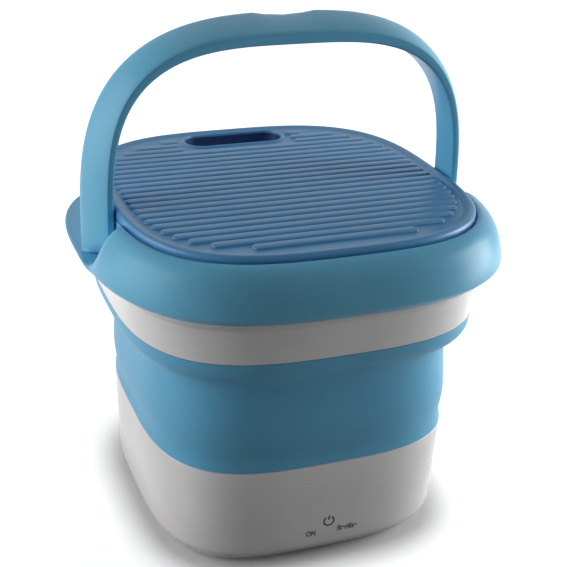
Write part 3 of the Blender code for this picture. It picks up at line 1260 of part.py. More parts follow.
def make_drain():
    inner = PAN_WALL_X - MESH_GAP
    end = base_wall_x(SPOUT_Z) + BASE_WALL + SPOUT_OUTSIDE
    place = pointing(X_AXIS, Vector((0, 0, SPOUT_Z)))
    profile = [
        (SPOUT_FLANGE_RADIUS, inner - SPOUT_FLANGE_THICKNESS), (SPOUT_FLANGE_RADIUS, inner),
        (SPOUT_RADIUS, inner), (SPOUT_RADIUS, end), (SPOUT_BORE_RADIUS, end),
        (SPOUT_BORE_RADIUS, inner - SPOUT_FLANGE_THICKNESS),
    ]
    mesh = turned_mesh("drain_spout", profile, closed=True)
    mesh.transform(place)
    add_part("drain_spout", mesh, WHITE)
    start = PAN_WALL_X + PAN_WALL + MESH_GAP
    profile = tube_profile(
        SPOUT_FLANGE_RADIUS, SPOUT_RADIUS + RUNNING_GAP, start, start + DRAIN_NUT_THICKNESS
    )
    mesh = turned_mesh("drain_nut", profile, closed=True)
    mesh.transform(place)
    add_part("drain_nut", mesh, BLACK)
    head = end + MESH_GAP
    stem = SPOUT_BORE_RADIUS - RUNNING_GAP
    profile = [
        (0, head - PLUG_STEM_LENGTH), (stem, head - PLUG_STEM_LENGTH), (stem, head),
        (PLUG_HEAD_RADIUS, head), (PLUG_HEAD_RADIUS, head + PLUG_HEAD_THICKNESS),
        (0, head + PLUG_HEAD_THICKNESS),
    ]
    mesh = turned_mesh("drain_plug", profile)
    mesh.transform(place)
    add_part("drain_plug", mesh, RUBBER)


make_base_shell()
make_bottom_cover()
make_feet()
make_tub_pan()
make_base_clamp()
make_bellows()
make_band()
make_rim()
make_lid()
make_handle()
make_pins()
make_motor()
make_bracket()
make_impeller()
make_controls()
make_steriliser()
make_jack()
make_drain()
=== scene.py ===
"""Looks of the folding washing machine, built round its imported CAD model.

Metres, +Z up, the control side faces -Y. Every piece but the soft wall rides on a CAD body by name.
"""

import math

import bmesh
import bpy
from mathutils import Matrix, Vector


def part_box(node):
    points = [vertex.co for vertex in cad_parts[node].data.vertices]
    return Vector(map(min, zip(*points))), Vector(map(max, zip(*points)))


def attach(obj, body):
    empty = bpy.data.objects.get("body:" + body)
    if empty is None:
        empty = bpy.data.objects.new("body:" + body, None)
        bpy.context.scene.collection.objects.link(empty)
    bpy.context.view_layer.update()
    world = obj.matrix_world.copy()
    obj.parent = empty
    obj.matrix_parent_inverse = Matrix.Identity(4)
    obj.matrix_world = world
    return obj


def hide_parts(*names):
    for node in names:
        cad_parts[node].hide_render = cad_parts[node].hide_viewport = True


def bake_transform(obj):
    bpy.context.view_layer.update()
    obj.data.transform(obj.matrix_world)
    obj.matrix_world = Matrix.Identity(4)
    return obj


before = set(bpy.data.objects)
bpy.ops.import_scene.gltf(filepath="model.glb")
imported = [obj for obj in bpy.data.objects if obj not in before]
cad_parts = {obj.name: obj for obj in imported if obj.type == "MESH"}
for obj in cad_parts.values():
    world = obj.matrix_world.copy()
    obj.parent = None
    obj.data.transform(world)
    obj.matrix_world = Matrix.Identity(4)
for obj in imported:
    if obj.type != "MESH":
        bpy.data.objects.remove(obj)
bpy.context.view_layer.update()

# Camera at the photograph's viewing angle
CAMERA_PLACE = Vector((-0.3106, -0.8070, 0.5725))
CAMERA_FORWARD = Vector((0.3315, 0.8464, -0.4167))
CAMERA_UP = Vector((0.1176, 0.4012, 0.9084))
SENSOR_MM = 36.0
LENS_MM = 76.19


def make_camera():
    data = bpy.data.cameras.new("camera")
    data.sensor_width = SENSOR_MM
    data.sensor_fit = "AUTO"
    data.lens = LENS_MM
    data.dof.use_dof = False
    camera = bpy.data.objects.new("camera", data)
    back = -CAMERA_FORWARD.normalized()
    right = CAMERA_UP.cross(back).normalized()
    up = back.cross(right)
    turn = Matrix((right, up, back)).transposed().to_4x4()
    camera.matrix_world = Matrix.Translation(CAMERA_PLACE) @ turn
    bpy.context.scene.collection.objects.link(camera)
    bpy.context.scene.camera = camera


make_camera()

# Outlines: rounded squares, a lower exponent for rounder corners, as toward the rim's edge
CORNER_EXPONENT = 3.15
RIM_CORNER_EXPONENT = 2.85
BASE_CORNER_EXPONENT = 3.4
BAND_REACH = 0.005
RIM_REACH = 0.0245
BASE_EXTRA_DEPTH = 0.0073
LID_HALF_WIDTH = 0.133
LID_HALF_DEPTH = 0.1374
DEPTH_SHARE = 0.85
BASE_TOP_Z = 0.087
BAND_BOTTOM_Z = 0.183
COLUMNS = 208
LINE_STEPS = 5
MERGE = 0.000005


def outline(half_width, half_depth, angle, exponent=CORNER_EXPONENT):
    across = abs(math.cos(angle)) / half_width
    along = abs(math.sin(angle)) / half_depth
    radius = (across**exponent + along**exponent) ** (-1 / exponent)
    return Vector((radius * math.cos(angle), radius * math.sin(angle), 0))


def base_place(half_width, z, angle):
    half_depth = half_width + BASE_EXTRA_DEPTH
    return outline(half_width, half_depth, angle, BASE_CORNER_EXPONENT) + Vector((0, 0, z))


def collar_place(reach, z, angle):
    half_depth = LID_HALF_DEPTH + DEPTH_SHARE * reach
    share = max(0, reach - BAND_REACH) / (RIM_REACH - BAND_REACH)
    exponent = CORNER_EXPONENT + (RIM_CORNER_EXPONENT - CORNER_EXPONENT) * share
    return outline(LID_HALF_WIDTH + reach, half_depth, angle, exponent) + Vector((0, 0, z))


def wall_place(half_width, z, angle):
    """On the soft wall the outline eases from the base's to the collar's, going up."""
    share = min(max((z - BASE_TOP_Z) / (BAND_BOTTOM_Z - BASE_TOP_Z), 0), 1)
    collar = LID_HALF_DEPTH + DEPTH_SHARE * (half_width - LID_HALF_WIDTH)
    base = half_width + BASE_EXTRA_DEPTH
    half_depth = base + (collar - base) * share
    exponent = BASE_CORNER_EXPONENT + (CORNER_EXPONENT - BASE_CORNER_EXPONENT) * share
    return outline(half_width, half_depth, angle, exponent) + Vector((0, 0, z))


# Shapes: the third value of a line's point that stays sharp
CORNER = True


def smooth_line(points, closed=True):
    """A line through (across, z) points; one marked CORNER stays sharp."""
    curve = bpy.data.curves.new("line", "CURVE")
    curve.dimensions = "3D"
    curve.resolution_u = LINE_STEPS
    spline = curve.splines.new("BEZIER")
    spline.bezier_points.add(len(points) - 1)
    spline.use_cyclic_u = closed
    for knot, point in zip(spline.bezier_points, points):
        knot.co = (point[0], 0, point[1])
    for knot, point in zip(spline.bezier_points, points):
        kind = "VECTOR" if len(point) > 2 else "AUTO"
        knot.handle_left_type = kind
        knot.handle_right_type = kind
    holder = bpy.data.objects.new("line", curve)
    mesh = bpy.data.meshes.new_from_object(holder)
    line = [(vert.co.x, vert.co.z) for vert in mesh.vertices]
    bpy.data.objects.remove(holder)
    bpy.data.curves.remove(curve)
    bpy.data.meshes.remove(mesh)
    return line


def tidy(bm):
    bmesh.ops.remove_doubles(bm, verts=bm.verts, dist=MERGE)
    bmesh.ops.recalc_face_normals(bm, faces=bm.faces)
    return bm


def spun_ring(rows, place, closed=True, columns=COLUMNS):
    """Spins a column of rows round Z, then moves each point to where place puts its row."""
    bm = bmesh.new()
    column = [bm.verts.new((1, 0, row)) for row in range(rows)]
    following = column[1:] + column[:1] if closed else column[1:]
    edges = [bm.edges.new(pair) for pair in zip(column, following)]
    bmesh.ops.spin(
        bm, geom=column + edges, cent=(0, 0, 0), axis=(0, 0, 1), angle=2 * math.pi,
        steps=columns, use_merge=True, use_duplicate=False,
    )
    for vert in bm.verts:
        vert.co = place(round(vert.co.z), math.atan2(vert.co.y, vert.co.x))
    return bm


def outline_ring(line, place, closed=True, columns=COLUMNS):
    """A ring that has one section all round."""
    def put(row, angle):
        return place(*line[row], angle)
    return spun_ring(len(line), put, closed, columns)


def close_ends(bm):
    """Fills the two open edges of a plate."""
    bmesh.ops.holes_fill(bm, edges=[edge for edge in bm.edges if edge.is_boundary], sides=0)
    return bm


def stadium_face(bm, length, width, centre, segments):
    """A flat face with round ends, long in X."""
    turned = Matrix.Rotation(math.pi / segments, 4, "Z")
    made = bmesh.ops.create_circle(
        bm, cap_ends=True, segments=segments, radius=width / 2, matrix=turned
    )["verts"]
    for vert in made:
        vert.co.x += math.copysign((length - width) / 2, vert.co.x)
    bmesh.ops.translate(bm, vec=centre, verts=made)
    return next(face for face in made[0].link_faces)


def raise_face(bm, face, height):
    made = bmesh.ops.extrude_discrete_faces(bm, faces=[face])["faces"][0]
    bmesh.ops.translate(bm, vec=(0, 0, height), verts=made.verts)
    return made


def piece(name, bm, finish, body, replaced=(), smooth_degrees=35):
    """Makes a finished mesh a piece that rides on a CAD body."""
    mesh = bpy.data.meshes.new(name)
    tidy(bm).to_mesh(mesh)
    bm.free()
    mesh.shade_smooth()
    mesh.set_sharp_from_angle(angle=math.radians(smooth_degrees))
    mesh.materials.append(finish)
    made = bpy.data.objects.new(name, mesh)
    bpy.context.scene.collection.objects.link(made)
    if body:
        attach(made, body)
    if replaced:
        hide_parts(*replaced)
    return made


def subtract(target, tool_bm):
    """Cuts a closed shape out of a piece."""
    mesh = bpy.data.meshes.new("tool")
    tidy(tool_bm).to_mesh(mesh)
    tool_bm.free()
    tool = bpy.data.objects.new("tool", mesh)
    bpy.context.scene.collection.objects.link(tool)
    step = target.modifiers.new("cut", "BOOLEAN")
    step.operation = "DIFFERENCE"
    step.solver = "EXACT"
    step.object = tool
    bpy.context.view_layer.update()
    evaluated = target.evaluated_get(bpy.context.evaluated_depsgraph_get())
    target.data = bpy.data.meshes.new_from_object(evaluated)
    target.modifiers.clear()
    bpy.data.objects.remove(tool)
    bpy.data.meshes.remove(mesh)


# Materials
def colour(code):
    """An sRGB hex value as linear RGBA."""
    parts = [int(code[i:i + 2], 16) / 255 for i in (1, 3, 5)]
    linear = [p / 12.92 if p <= 0.04045 else ((p + 0.055) / 1.055) ** 2.4 for p in parts]
    return (*linear, 1.0)


def add_node(tree, kind, settings=(), **links):
    """Adds a node; settings are its properties and values, links name its inputs."""
    made = tree.nodes.new(kind)
    for key, value in dict(settings).items():
        if isinstance(key, str) and hasattr(made, key):
            setattr(made, key, value)
        else:
            made.inputs[key].default_value = value
    for key, source in links.items():
        tree.links.new(source, made.inputs[key.replace("_", " ")])
    return made


def new_material(name):
    made = bpy.data.materials.new(name)
    made.use_nodes = True
    made.node_tree.nodes.clear()
    return made, made.node_tree


# A noise value lies mostly between these
NOISE_LOW = 0.35
NOISE_HIGH = 0.65


def ramp_between(tree, factor, low, high):
    """Turns a noise value into a range."""
    made = add_node(tree, "ShaderNodeMapRange", {
        "From Min": NOISE_LOW, "From Max": NOISE_HIGH, "To Min": low, "To Max": high,
    }, Value=factor)
    return made.outputs["Result"]


# Sizes of a plastic's faint marks: flow in the mould, and places rubbed by hands
FLOW_MM = 45
RUBBED_MM = 9
SHADE_SPREAD = 0.03
PLASTIC_IOR = 1.49


def moulded_plastic(name, tint, roughness, grain_mm, grain_depth_mm, settings=()):
    """A moulded plastic: even colour with faint flow marks, and the mould's own grain.

    Real mould grain is 0.05 to 0.3 mm, too fine to show here, so it is drawn coarser.
    """
    made, tree = new_material(name)
    place = add_node(tree, "ShaderNodeTexCoord").outputs["Object"]
    flow = add_node(tree, "ShaderNodeTexNoise", {
        "Scale": 1000 / FLOW_MM, "Detail": 3.0, "Roughness": 0.5, "Distortion": 0.4,
    }, Vector=place).outputs["Fac"]
    rubbed = add_node(tree, "ShaderNodeTexNoise", {
        "Scale": 1000 / RUBBED_MM, "Detail": 4.0, "Roughness": 0.6,
    }, Vector=place).outputs["Fac"]
    grain = add_node(tree, "ShaderNodeTexNoise", {
        "Scale": 1000 / grain_mm, "Detail": 2.0, "Roughness": 0.5,
    }, Vector=place).outputs["Fac"]
    base = colour(tint)
    paler = tuple(min(1.0, channel * (1 + SHADE_SPREAD)) for channel in base[:3]) + (1.0,)
    darker = tuple(channel * (1 - SHADE_SPREAD) for channel in base[:3]) + (1.0,)
    shade = add_node(tree, "ShaderNodeMix", {"data_type": "RGBA"})
    tree.links.new(ramp_between(tree, flow, 0.0, 1.0), shade.inputs["Factor"])
    shade.inputs[6].default_value = darker
    shade.inputs[7].default_value = paler
    bump = add_node(tree, "ShaderNodeBump", {
        "Strength": 1.0, "Distance": grain_depth_mm / 1000,
    }, Height=grain)
    shader = add_node(tree, "ShaderNodeBsdfPrincipled", {"IOR": PLASTIC_IOR, **dict(settings)})
    tree.links.new(shade.outputs[2], shader.inputs["Base Color"])
    rough = ramp_between(tree, rubbed, roughness * 0.96, roughness * 1.05)
    tree.links.new(rough, shader.inputs["Roughness"])
    tree.links.new(bump.outputs["Normal"], shader.inputs["Normal"])
    output = add_node(tree, "ShaderNodeOutputMaterial")
    tree.links.new(shader.outputs["BSDF"], output.inputs["Surface"])
    return made


# Blue ABS from a polished mould: rim and handle, clear soft reflections
BLUE_GLOSS = moulded_plastic(
    "blue_abs_polished", "#6fc0e4", 0.32, 1.6, 0.0006, {"Specular IOR Level": 0.22},
)
# Blue ABS from a spark-eroded mould: the lid, satin and even
BLUE_SATIN = moulded_plastic("blue_abs_eroded", "#4891c3", 0.36, 0.5, 0.010)
# The same ABS in the slot's pocket, coloured dark navy: painted shade for the deep recess, where
# little light reaches
BLUE_POCKET_PAINTED_SHADE = moulded_plastic("blue_abs_painted_shade", "#1f3f75", 0.40, 0.5, 0.010)
# Thermoplastic rubber, moulded thin: the folding wall, soft wide highlights
SOFT_WALL = moulded_plastic(
    "blue_rubber_moulded", "#62b0d6", 0.45, 0.6, 0.010, {"Specular IOR Level": 0.30},
)
# White ABS from a polished mould: base and band, bright narrow reflections
WHITE_GLOSS = moulded_plastic("white_abs_polished", "#e6e4e3", 0.22, 1.8, 0.0010)


SMALL_GRAIN_DEPTH = 0.00001


def plain_finish(name, tint, roughness, grain_mm, metallic=0.0, settings=()):
    """A small part's finish: even colour, with roughness broken up by its grain."""
    made, tree = new_material(name)
    place = add_node(tree, "ShaderNodeTexCoord").outputs["Object"]
    grain = add_node(tree, "ShaderNodeTexNoise", {
        "Scale": 1000 / grain_mm, "Detail": 3.0, "Roughness": 0.6,
    }, Vector=place).outputs["Fac"]
    bump = add_node(tree, "ShaderNodeBump", {
        "Strength": 1.0, "Distance": SMALL_GRAIN_DEPTH,
    }, Height=grain)
    shader = add_node(tree, "ShaderNodeBsdfPrincipled", {
        "Base Color": colour(tint), "Metallic": metallic, **dict(settings),
    })
    rough = ramp_between(tree, grain, roughness * 0.8, roughness * 1.25)
    tree.links.new(rough, shader.inputs["Roughness"])
    tree.links.new(bump.outputs["Normal"], shader.inputs["Normal"])
    output = add_node(tree, "ShaderNodeOutputMaterial")
    tree.links.new(shader.outputs["BSDF"], output.inputs["Surface"])
    return made


# Zinc-plated steel, turned or pressed: cool grey with a broken shine
STEEL = plain_finish("steel_zinc_plated", "#b9bcc0", 0.32, 0.8, 1.0)
# Enamelled copper wire, wound: brown-orange and glossy
COPPER = plain_finish("copper_enamelled", "#b5683a", 0.30, 0.6, 1.0)
# Black ABS, spark-eroded: dull and even
BLACK = plain_finish("black_abs_eroded", "#1c1c1e", 0.45, 0.5)
# Nitrile rubber, moulded: matt and dark grey
RUBBER = plain_finish("rubber_moulded", "#2b2b2d", 0.75, 0.7)
# Fibreglass board under green solder mask: smooth, slightly glossy
BOARD = plain_finish("circuit_board_masked", "#17603a", 0.35, 1.2)
# Clear polycarbonate, polished: the lens over the lamp
CLEAR = plain_finish(
    "polycarbonate_polished", "#e8eef8", 0.06, 2.0, 0.0,
    {"Transmission Weight": 0.9, "IOR": 1.58},
)
# Black ink, pad printed: flat and dull on the white
INK = plain_finish("ink_pad_printed", "#1d1b1b", 0.50, 0.3)

# Base shell, from its lower edge up to the soft wall
SHELL_BOTTOM_Z = 0.0068
BASE_LOW = 0.1173
BASE_TOP = 0.1197
BASE_WALL = 0.0022
BASE_ROUND = 0.0105
BASE_INNER_ROUND = BASE_ROUND - BASE_WALL
BASE_FLOOR = 0.0024
BASE_FLANGE = 0.0145
BASE_LIP_ROUND = 0.0009
BASE_EDGE_BREAK = 0.0004
SHELF_TOP_Z = 0.0826
SHELF_BOTTOM_Z = 0.0801
SHELF_REACH = 0.0099
SHELF_ROOT = 0.0012
# The hole in the rear wall that the inlet's barrel looks out of
JACK_HOLE_RADIUS = 0.0044
JACK_HOLE_LENGTH = 0.03
# Cover under the base
COVER_TOP_Z = 0.0065
COVER_BOTTOM_Z = 0.002
COVER_ROUND = 0.0022
COVER_GAP = 0.0006
COVER_TOP_BREAK = 0.0005
COVER_INNER = 0.02


def quarter(centre_x, centre_z, radius, start, steps=6):
    """Points of a quarter round, from a start angle in degrees, turning left."""
    turns = [math.radians(start + 90 * step / steps) for step in range(steps + 1)]
    return [
        (centre_x + radius * math.cos(turn), centre_z + radius * math.sin(turn))
        for turn in turns
    ]


def make_base():
    low_edge = BASE_LOW - BASE_ROUND
    flange = low_edge - BASE_FLANGE
    inner = BASE_LOW - BASE_WALL
    shelf = BASE_TOP - SHELF_REACH
    outside = quarter(low_edge, SHELL_BOTTOM_Z + BASE_ROUND, BASE_ROUND, -90, 10)
    lip = quarter(
        BASE_TOP - BASE_LIP_ROUND, BASE_TOP_Z - BASE_LIP_ROUND, BASE_LIP_ROUND, 0, 3
    )
    inside = quarter(
        inner - BASE_INNER_ROUND, SHELL_BOTTOM_Z + BASE_FLOOR + BASE_INNER_ROUND,
        BASE_INNER_ROUND, -90, 6,
    )
    line = [(flange, SHELL_BOTTOM_Z), (low_edge - BASE_EDGE_BREAK, SHELL_BOTTOM_Z)]
    line += [(low_edge, SHELL_BOTTOM_Z + BASE_EDGE_BREAK * 0.5)] + outside[1:] + lip
    line += [(BASE_TOP - BASE_WALL, BASE_TOP_Z), (BASE_TOP - BASE_WALL, SHELF_TOP_Z)]
    line += [(shelf, SHELF_TOP_Z), (shelf, SHELF_BOTTOM_Z), (inner + SHELF_ROOT, SHELF_BOTTOM_Z)]
    line += inside[::-1] + [(flange, SHELL_BOTTOM_Z + BASE_FLOOR)]
    shell = piece(
        "base_housing", outline_ring(line, base_place), WHITE_GLOSS, "base",
        ["base_shell"],
    )
    low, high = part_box("dc_jack")
    centre = (Vector(low) + Vector(high)) / 2
    hole = bmesh.new()
    bmesh.ops.create_cone(
        hole, cap_ends=True, segments=48, radius1=JACK_HOLE_RADIUS, radius2=JACK_HOLE_RADIUS,
        depth=JACK_HOLE_LENGTH,
        matrix=Matrix.Translation(centre) @ Matrix.Rotation(math.pi / 2, 4, "X"),
    )
    subtract(shell, hole)


def make_cover():
    edge = BASE_LOW - BASE_ROUND - COVER_GAP
    rounded = quarter(edge - COVER_ROUND, COVER_BOTTOM_Z + COVER_ROUND, COVER_ROUND, -90, 5)
    line = [(COVER_INNER, COVER_TOP_Z), (edge - COVER_TOP_BREAK, COVER_TOP_Z)]
    line += [(edge, COVER_TOP_Z - 0.0004)] + rounded[::-1] + [(COVER_INNER, COVER_BOTTOM_Z)]
    bm = outline_ring(line, base_place, closed=False)
    piece("base_cover", close_ends(bm), WHITE_GLOSS, "base")


# Soft wall: half-widths of its outer face at heights, and its clamped flanges
WALL_LINE = (
    (0.1359, 0.1827), (0.1358, 0.1790), (0.1354, 0.1757), (0.1343, 0.1725),
    (0.1321, 0.1694), (0.1288, 0.1665), (0.1250, 0.1636), (0.1219, 0.1602),
    (0.1202, 0.1560), (0.1195, 0.1510), (0.1195, 0.1440), (0.1201, 0.1340),
    (0.1207, 0.1240), (0.1208, 0.1150), (0.1200, 0.1060), (0.1190, 0.0985),
    (0.1190, 0.0930), (0.1194, 0.0895), (0.1197, 0.0875),
)
WALL_THICKNESS = 0.0022
WALL_TOP_FLANGE = (
    (0.1312, 0.1830), (0.1312, 0.1874), (0.1250, 0.1874), (0.1250, 0.1897), (0.1334, 0.1897),
    (0.1334, 0.1827),
)
WALL_LOW_FLANGE = (
    (0.1172, 0.0873), (0.1172, 0.0858), (0.1089, 0.0858), (0.1089, 0.0881), (0.1150, 0.0881),
)


def inward(line, thickness):
    """The same line moved inward, square to its own run."""
    moved = []
    for index, (x, z) in enumerate(line):
        before = Vector(line[max(index - 1, 0)])
        after = Vector(line[min(index + 1, len(line) - 1)])
        run = (after - before).normalized()
        moved.append((x + run.y * thickness, z - run.x * thickness))
    return moved


def make_wall():
    outside = smooth_line(WALL_LINE, closed=False)
    inside = inward(outside, WALL_THICKNESS)
    top_flange, low_flange = WALL_TOP_FLANGE, WALL_LOW_FLANGE
    line = [*top_flange[2:], *outside, *low_flange, *inside[-3:0:-1], *top_flange[:2]]
    wall = piece(
        "soft_wall", outline_ring(line, wall_place), SOFT_WALL, None, ["bellows"],
        smooth_degrees=50,
    )
    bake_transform(wall)


# Band: reach outside the lid and height, up its outer face to the lip and down inside
BAND_LINE = (
    (0.0028, 0.1830), (0.0031, 0.1833), (0.0048, 0.2088), (0.0051, 0.2094),
    (0.0158, 0.2172), (0.0162, 0.2176), (0.0162, 0.2180), (0.0160, 0.2183),
    (-0.0025, 0.2183), (-0.0025, 0.2156), (0.0025, 0.2156), (0.0007, 0.1926),
    (-0.0080, 0.1926), (-0.0080, 0.1900), (0.0007, 0.1900), (0.0007, 0.1830),
)


def make_band():
    piece(
        "band", outline_ring(BAND_LINE, collar_place), WHITE_GLOSS, "collar",
        ["upper_band"],
    )


# Rim: the fairing beside the lid in front and the low ledge behind it, row by row
FAIRING = (
    (-0.0025, 0.2186, CORNER), (-0.0025, 0.2531, CORNER), (0.0010, 0.2531, CORNER),
    (0.0010, 0.2560), (0.0014, 0.2569), (0.0028, 0.2574), (0.0062, 0.2566),
    (0.0112, 0.2537), (0.0160, 0.2487), (0.0199, 0.2417), (0.0226, 0.2335),
    (0.0240, 0.2262), (0.0241, 0.2245, CORNER), (0.0232, 0.2232, CORNER),
    (0.0172, 0.2190, CORNER), (0.0168, 0.2186, CORNER), (0.0145, 0.2186, CORNER),
    (0.0200, 0.2260), (0.0165, 0.2400), (0.0090, 0.2490), (0.0000, 0.2500, CORNER),
    (0.0000, 0.2186, CORNER),
)
LEDGE = (
    (-0.0025, 0.2186, CORNER), (-0.0025, 0.2531, CORNER), (-0.0003, 0.2531, CORNER),
    (0.0000, 0.2526), (0.0000, 0.2480), (0.0000, 0.2360), (0.0002, 0.2245),
    (0.0012, 0.2222), (0.0060, 0.2220), (0.0130, 0.2220), (0.0205, 0.2220),
    (0.0236, 0.2219), (0.0243, 0.2213, CORNER), (0.0240, 0.2206, CORNER),
    (0.0172, 0.2189, CORNER), (0.0168, 0.2186, CORNER), (0.0145, 0.2186, CORNER),
    (0.0140, 0.2195), (0.0110, 0.2195), (0.0060, 0.2195), (0.0005, 0.2195, CORNER),
    (0.0000, 0.2186, CORNER),
)
SHOULDER_FRONT_Y = -0.047
SHOULDER_REAR_Y = -0.019
SHOULDER_CROWDING = 0.10


def crowded(angle):
    """Draws the columns of a ring closer together where the fairing drops to the ledge."""
    return angle - SHOULDER_CROWDING * math.sin(2 * angle)


def make_rim():
    front = smooth_line(FAIRING)
    rear = smooth_line(LEDGE)

    def put(row, angle):
        y = outline(LID_HALF_WIDTH, LID_HALF_DEPTH, crowded(angle)).y
        share = (y - SHOULDER_FRONT_Y) / (SHOULDER_REAR_Y - SHOULDER_FRONT_Y)
        share = min(max(share, 0), 1)
        share = share * share * (3 - 2 * share)
        reach = front[row][0] + (rear[row][0] - front[row][0]) * share
        z = front[row][1] + (rear[row][1] - front[row][1]) * share
        return collar_place(reach, z, crowded(angle))

    piece(
        "rim_ring", spun_ring(len(front), put), BLUE_GLOSS, "collar", ["rim"],
        smooth_degrees=40,
    )


# Lid: a raised bead round a lower field, and a skirt that reaches into the rim
LID_TOP_Z = 0.262
FIELD_DROP = 0.0018
FIELD_Z = LID_TOP_Z - FIELD_DROP
BEAD_ROUND = 0.0030
LID_UNDERSIDE = (
    (-0.0065, 0.2572), (-0.0065, 0.2456), (-0.0035, 0.2456), (-0.0033, 0.2459),
    (-0.0033, 0.2534), (-0.0006, 0.2534), (-0.0001, 0.2538), (0.0, 0.2556),
)
# From the bead's crown down to the field: how far in, and how far below the top
BEAD_FALL = (
    (-0.0044, 0.0001), (-0.0056, 0.0005), (-0.0068, 0.0011), (-0.0080, 0.0016),
    (-0.0092, FIELD_DROP),
)
RIB_PITCH = 0.0104
RIB_WIDTH = 0.0088
RIB_FIRST_Y = -0.1145
RIB_COUNT = 20
RIB_INSET_X = 0.0105
RIB_INSET_Y = 0.0184
SHORT_RIB_COUNT = 3
SHORT_RIB_START = 0.0480
RIB_SUNK = 0.0004
RIB_SIDE = 0.0006
# The dome of a rib, ring by ring: how far in, and how far up
RIB_DOME = (
    (0.00010, 0.00040), (0.00025, 0.00045), (0.00045, 0.00035), (0.00070, 0.00025),
    (0.00090, 0.00012),
)
SLOT_LENGTH = 0.084
SLOT_WIDTH = 0.028
SLOT_Y = 0.1105
SLOT_POCKET = 0.0140
POCKET_WALL = 0.0016
# How sharply a column passes from one round end of the slot to the other
END_TURN = 50
SLOT_CUT_GAP = 0.0008
SLOT_CUT_BELOW = 0.004
SLOT_CUT_HEIGHT = 0.030


def rib_reach(y):
    """How far a rib runs to each side at this depth of the lid."""
    half_depth = LID_HALF_DEPTH - RIB_INSET_Y
    share = 1 - (min(abs(y), half_depth) / half_depth) ** CORNER_EXPONENT
    return (LID_HALF_WIDTH - RIB_INSET_X) * share ** (1 / CORNER_EXPONENT)


def add_rib(bm, first, last, y):
    """A low bar with round ends and a domed top, between two places across the lid."""
    centre = Vector(((first + last) / 2, y, FIELD_Z - RIB_SUNK))
    face = stadium_face(bm, last - first, RIB_WIDTH, centre, 20)
    face = raise_face(bm, face, RIB_SIDE)
    for inset, rise in RIB_DOME:
        bmesh.ops.inset_region(bm, faces=[face], thickness=inset, depth=rise)


def make_lid():
    line = list(LID_UNDERSIDE)
    line += quarter(-BEAD_ROUND, LID_TOP_Z - BEAD_ROUND, BEAD_ROUND, 0, 10)
    line += [(across, LID_TOP_Z - below) for across, below in BEAD_FALL]
    lid = piece(
        "lid_plate", close_ends(outline_ring(line, collar_place, closed=False)), BLUE_SATIN,
        "lid", ["lid"],
    )
    hole = bmesh.new()
    low = Vector((0, SLOT_Y, LID_TOP_Z - SLOT_POCKET - SLOT_CUT_BELOW))
    face = stadium_face(hole, SLOT_LENGTH + SLOT_CUT_GAP, SLOT_WIDTH + SLOT_CUT_GAP, low, 64)
    raise_face(hole, face, SLOT_CUT_HEIGHT)
    subtract(lid, hole)
    ribs = bmesh.new()
    for number in range(RIB_COUNT + SHORT_RIB_COUNT):
        y = RIB_FIRST_Y + number * RIB_PITCH
        reach = rib_reach(y)
        if number < RIB_COUNT:
            add_rib(ribs, -reach, reach, y)
        elif reach > SHORT_RIB_START + RIB_WIDTH:
            add_rib(ribs, SHORT_RIB_START, reach, y)
            add_rib(ribs, -reach, -SHORT_RIB_START, y)
    piece("lid_ribs", ribs, BLUE_SATIN, "lid")
    make_slot()


def stadium_ring(line):
    """A ring with round ends; a row of the line is a distance outside the slot and a height."""
    def put(row, angle):
        radius = SLOT_WIDTH / 2 + line[row][0]
        half = (SLOT_LENGTH - SLOT_WIDTH) / 2
        side = math.copysign(half, math.cos(angle)) * min(1.0, END_TURN * abs(math.cos(angle)))
        x = side + radius * math.cos(angle)
        return Vector((x, SLOT_Y + radius * math.sin(angle), line[row][1]))
    return spun_ring(len(line), put, closed=False, columns=72)


def make_slot():
    """The slot's raised border and its blind pocket."""
    top = LID_TOP_Z
    floor = LID_TOP_Z - SLOT_POCKET
    pocket = [(-SLOT_WIDTH / 2, floor), (-0.0030, floor), (-0.0012, floor + 0.0006)]
    pocket += [(-0.0002, floor + 0.0022), (0.0, top - 0.0022)]
    # The pocket's inside takes the dark navy of the painted shade, not a colour of its own
    piece("slot_pocket", stadium_ring(pocket), BLUE_POCKET_PAINTED_SHADE, "lid")
    under = floor - POCKET_WALL
    border = [(0.0, top - 0.0022), (0.0, top - 0.0010), (0.0003, top - 0.0003), (0.0010, top)]
    border += [(0.0017, top - 0.0002), (0.0024, top - 0.0008), (0.0030, FIELD_Z + 0.0002)]
    border += [(0.0034, FIELD_Z - 0.0002), (POCKET_WALL, FIELD_Z - 0.0010)]
    border += [(POCKET_WALL, under), (-SLOT_WIDTH / 2, under)]
    piece("lid_slot", stadium_ring(border), BLUE_SATIN, "lid")


# Handle
HANDLE_INNER_X = 0.1342
HANDLE_HALF_WIDTH = 0.153
HANDLE_FRONT_Y = -0.026
HANDLE_REAR_Y = 0.004
HANDLE_TOP_Z = 0.391
HANDLE_TOP_THICKNESS = 0.018
ARCH_Z = 0.242
INNER_EXPONENT = 3.35
OUTER_EXPONENT = 2.85
PIVOT_Y = -0.0010
PIVOT_Z = 0.2275
TIP_REAR_RADIUS = 0.005
TIP_FRONT_RADIUS = 0.0185
GRIP_DIP = 0.0026
GRIP_HALF_LENGTH = 0.024
ARCH_STEPS = 88
TIP_STEPS = 10
EDGE_ROUND = 0.0018
CREASE_ROUND = 0.0010
CREASE_TURN = 50
FACE_STEPS = 8
LEG_FLAT = 0.0054
TOP_FLAT = 0.0088
FACE_BULGE = 0.0012


def arch_point(half_width, height, exponent, turn):
    x = half_width * abs(math.cos(turn)) ** (2 / exponent)
    z = ARCH_Z + height * abs(math.sin(turn)) ** (2 / exponent)
    return Vector((math.copysign(x, math.cos(turn)), 0, z))


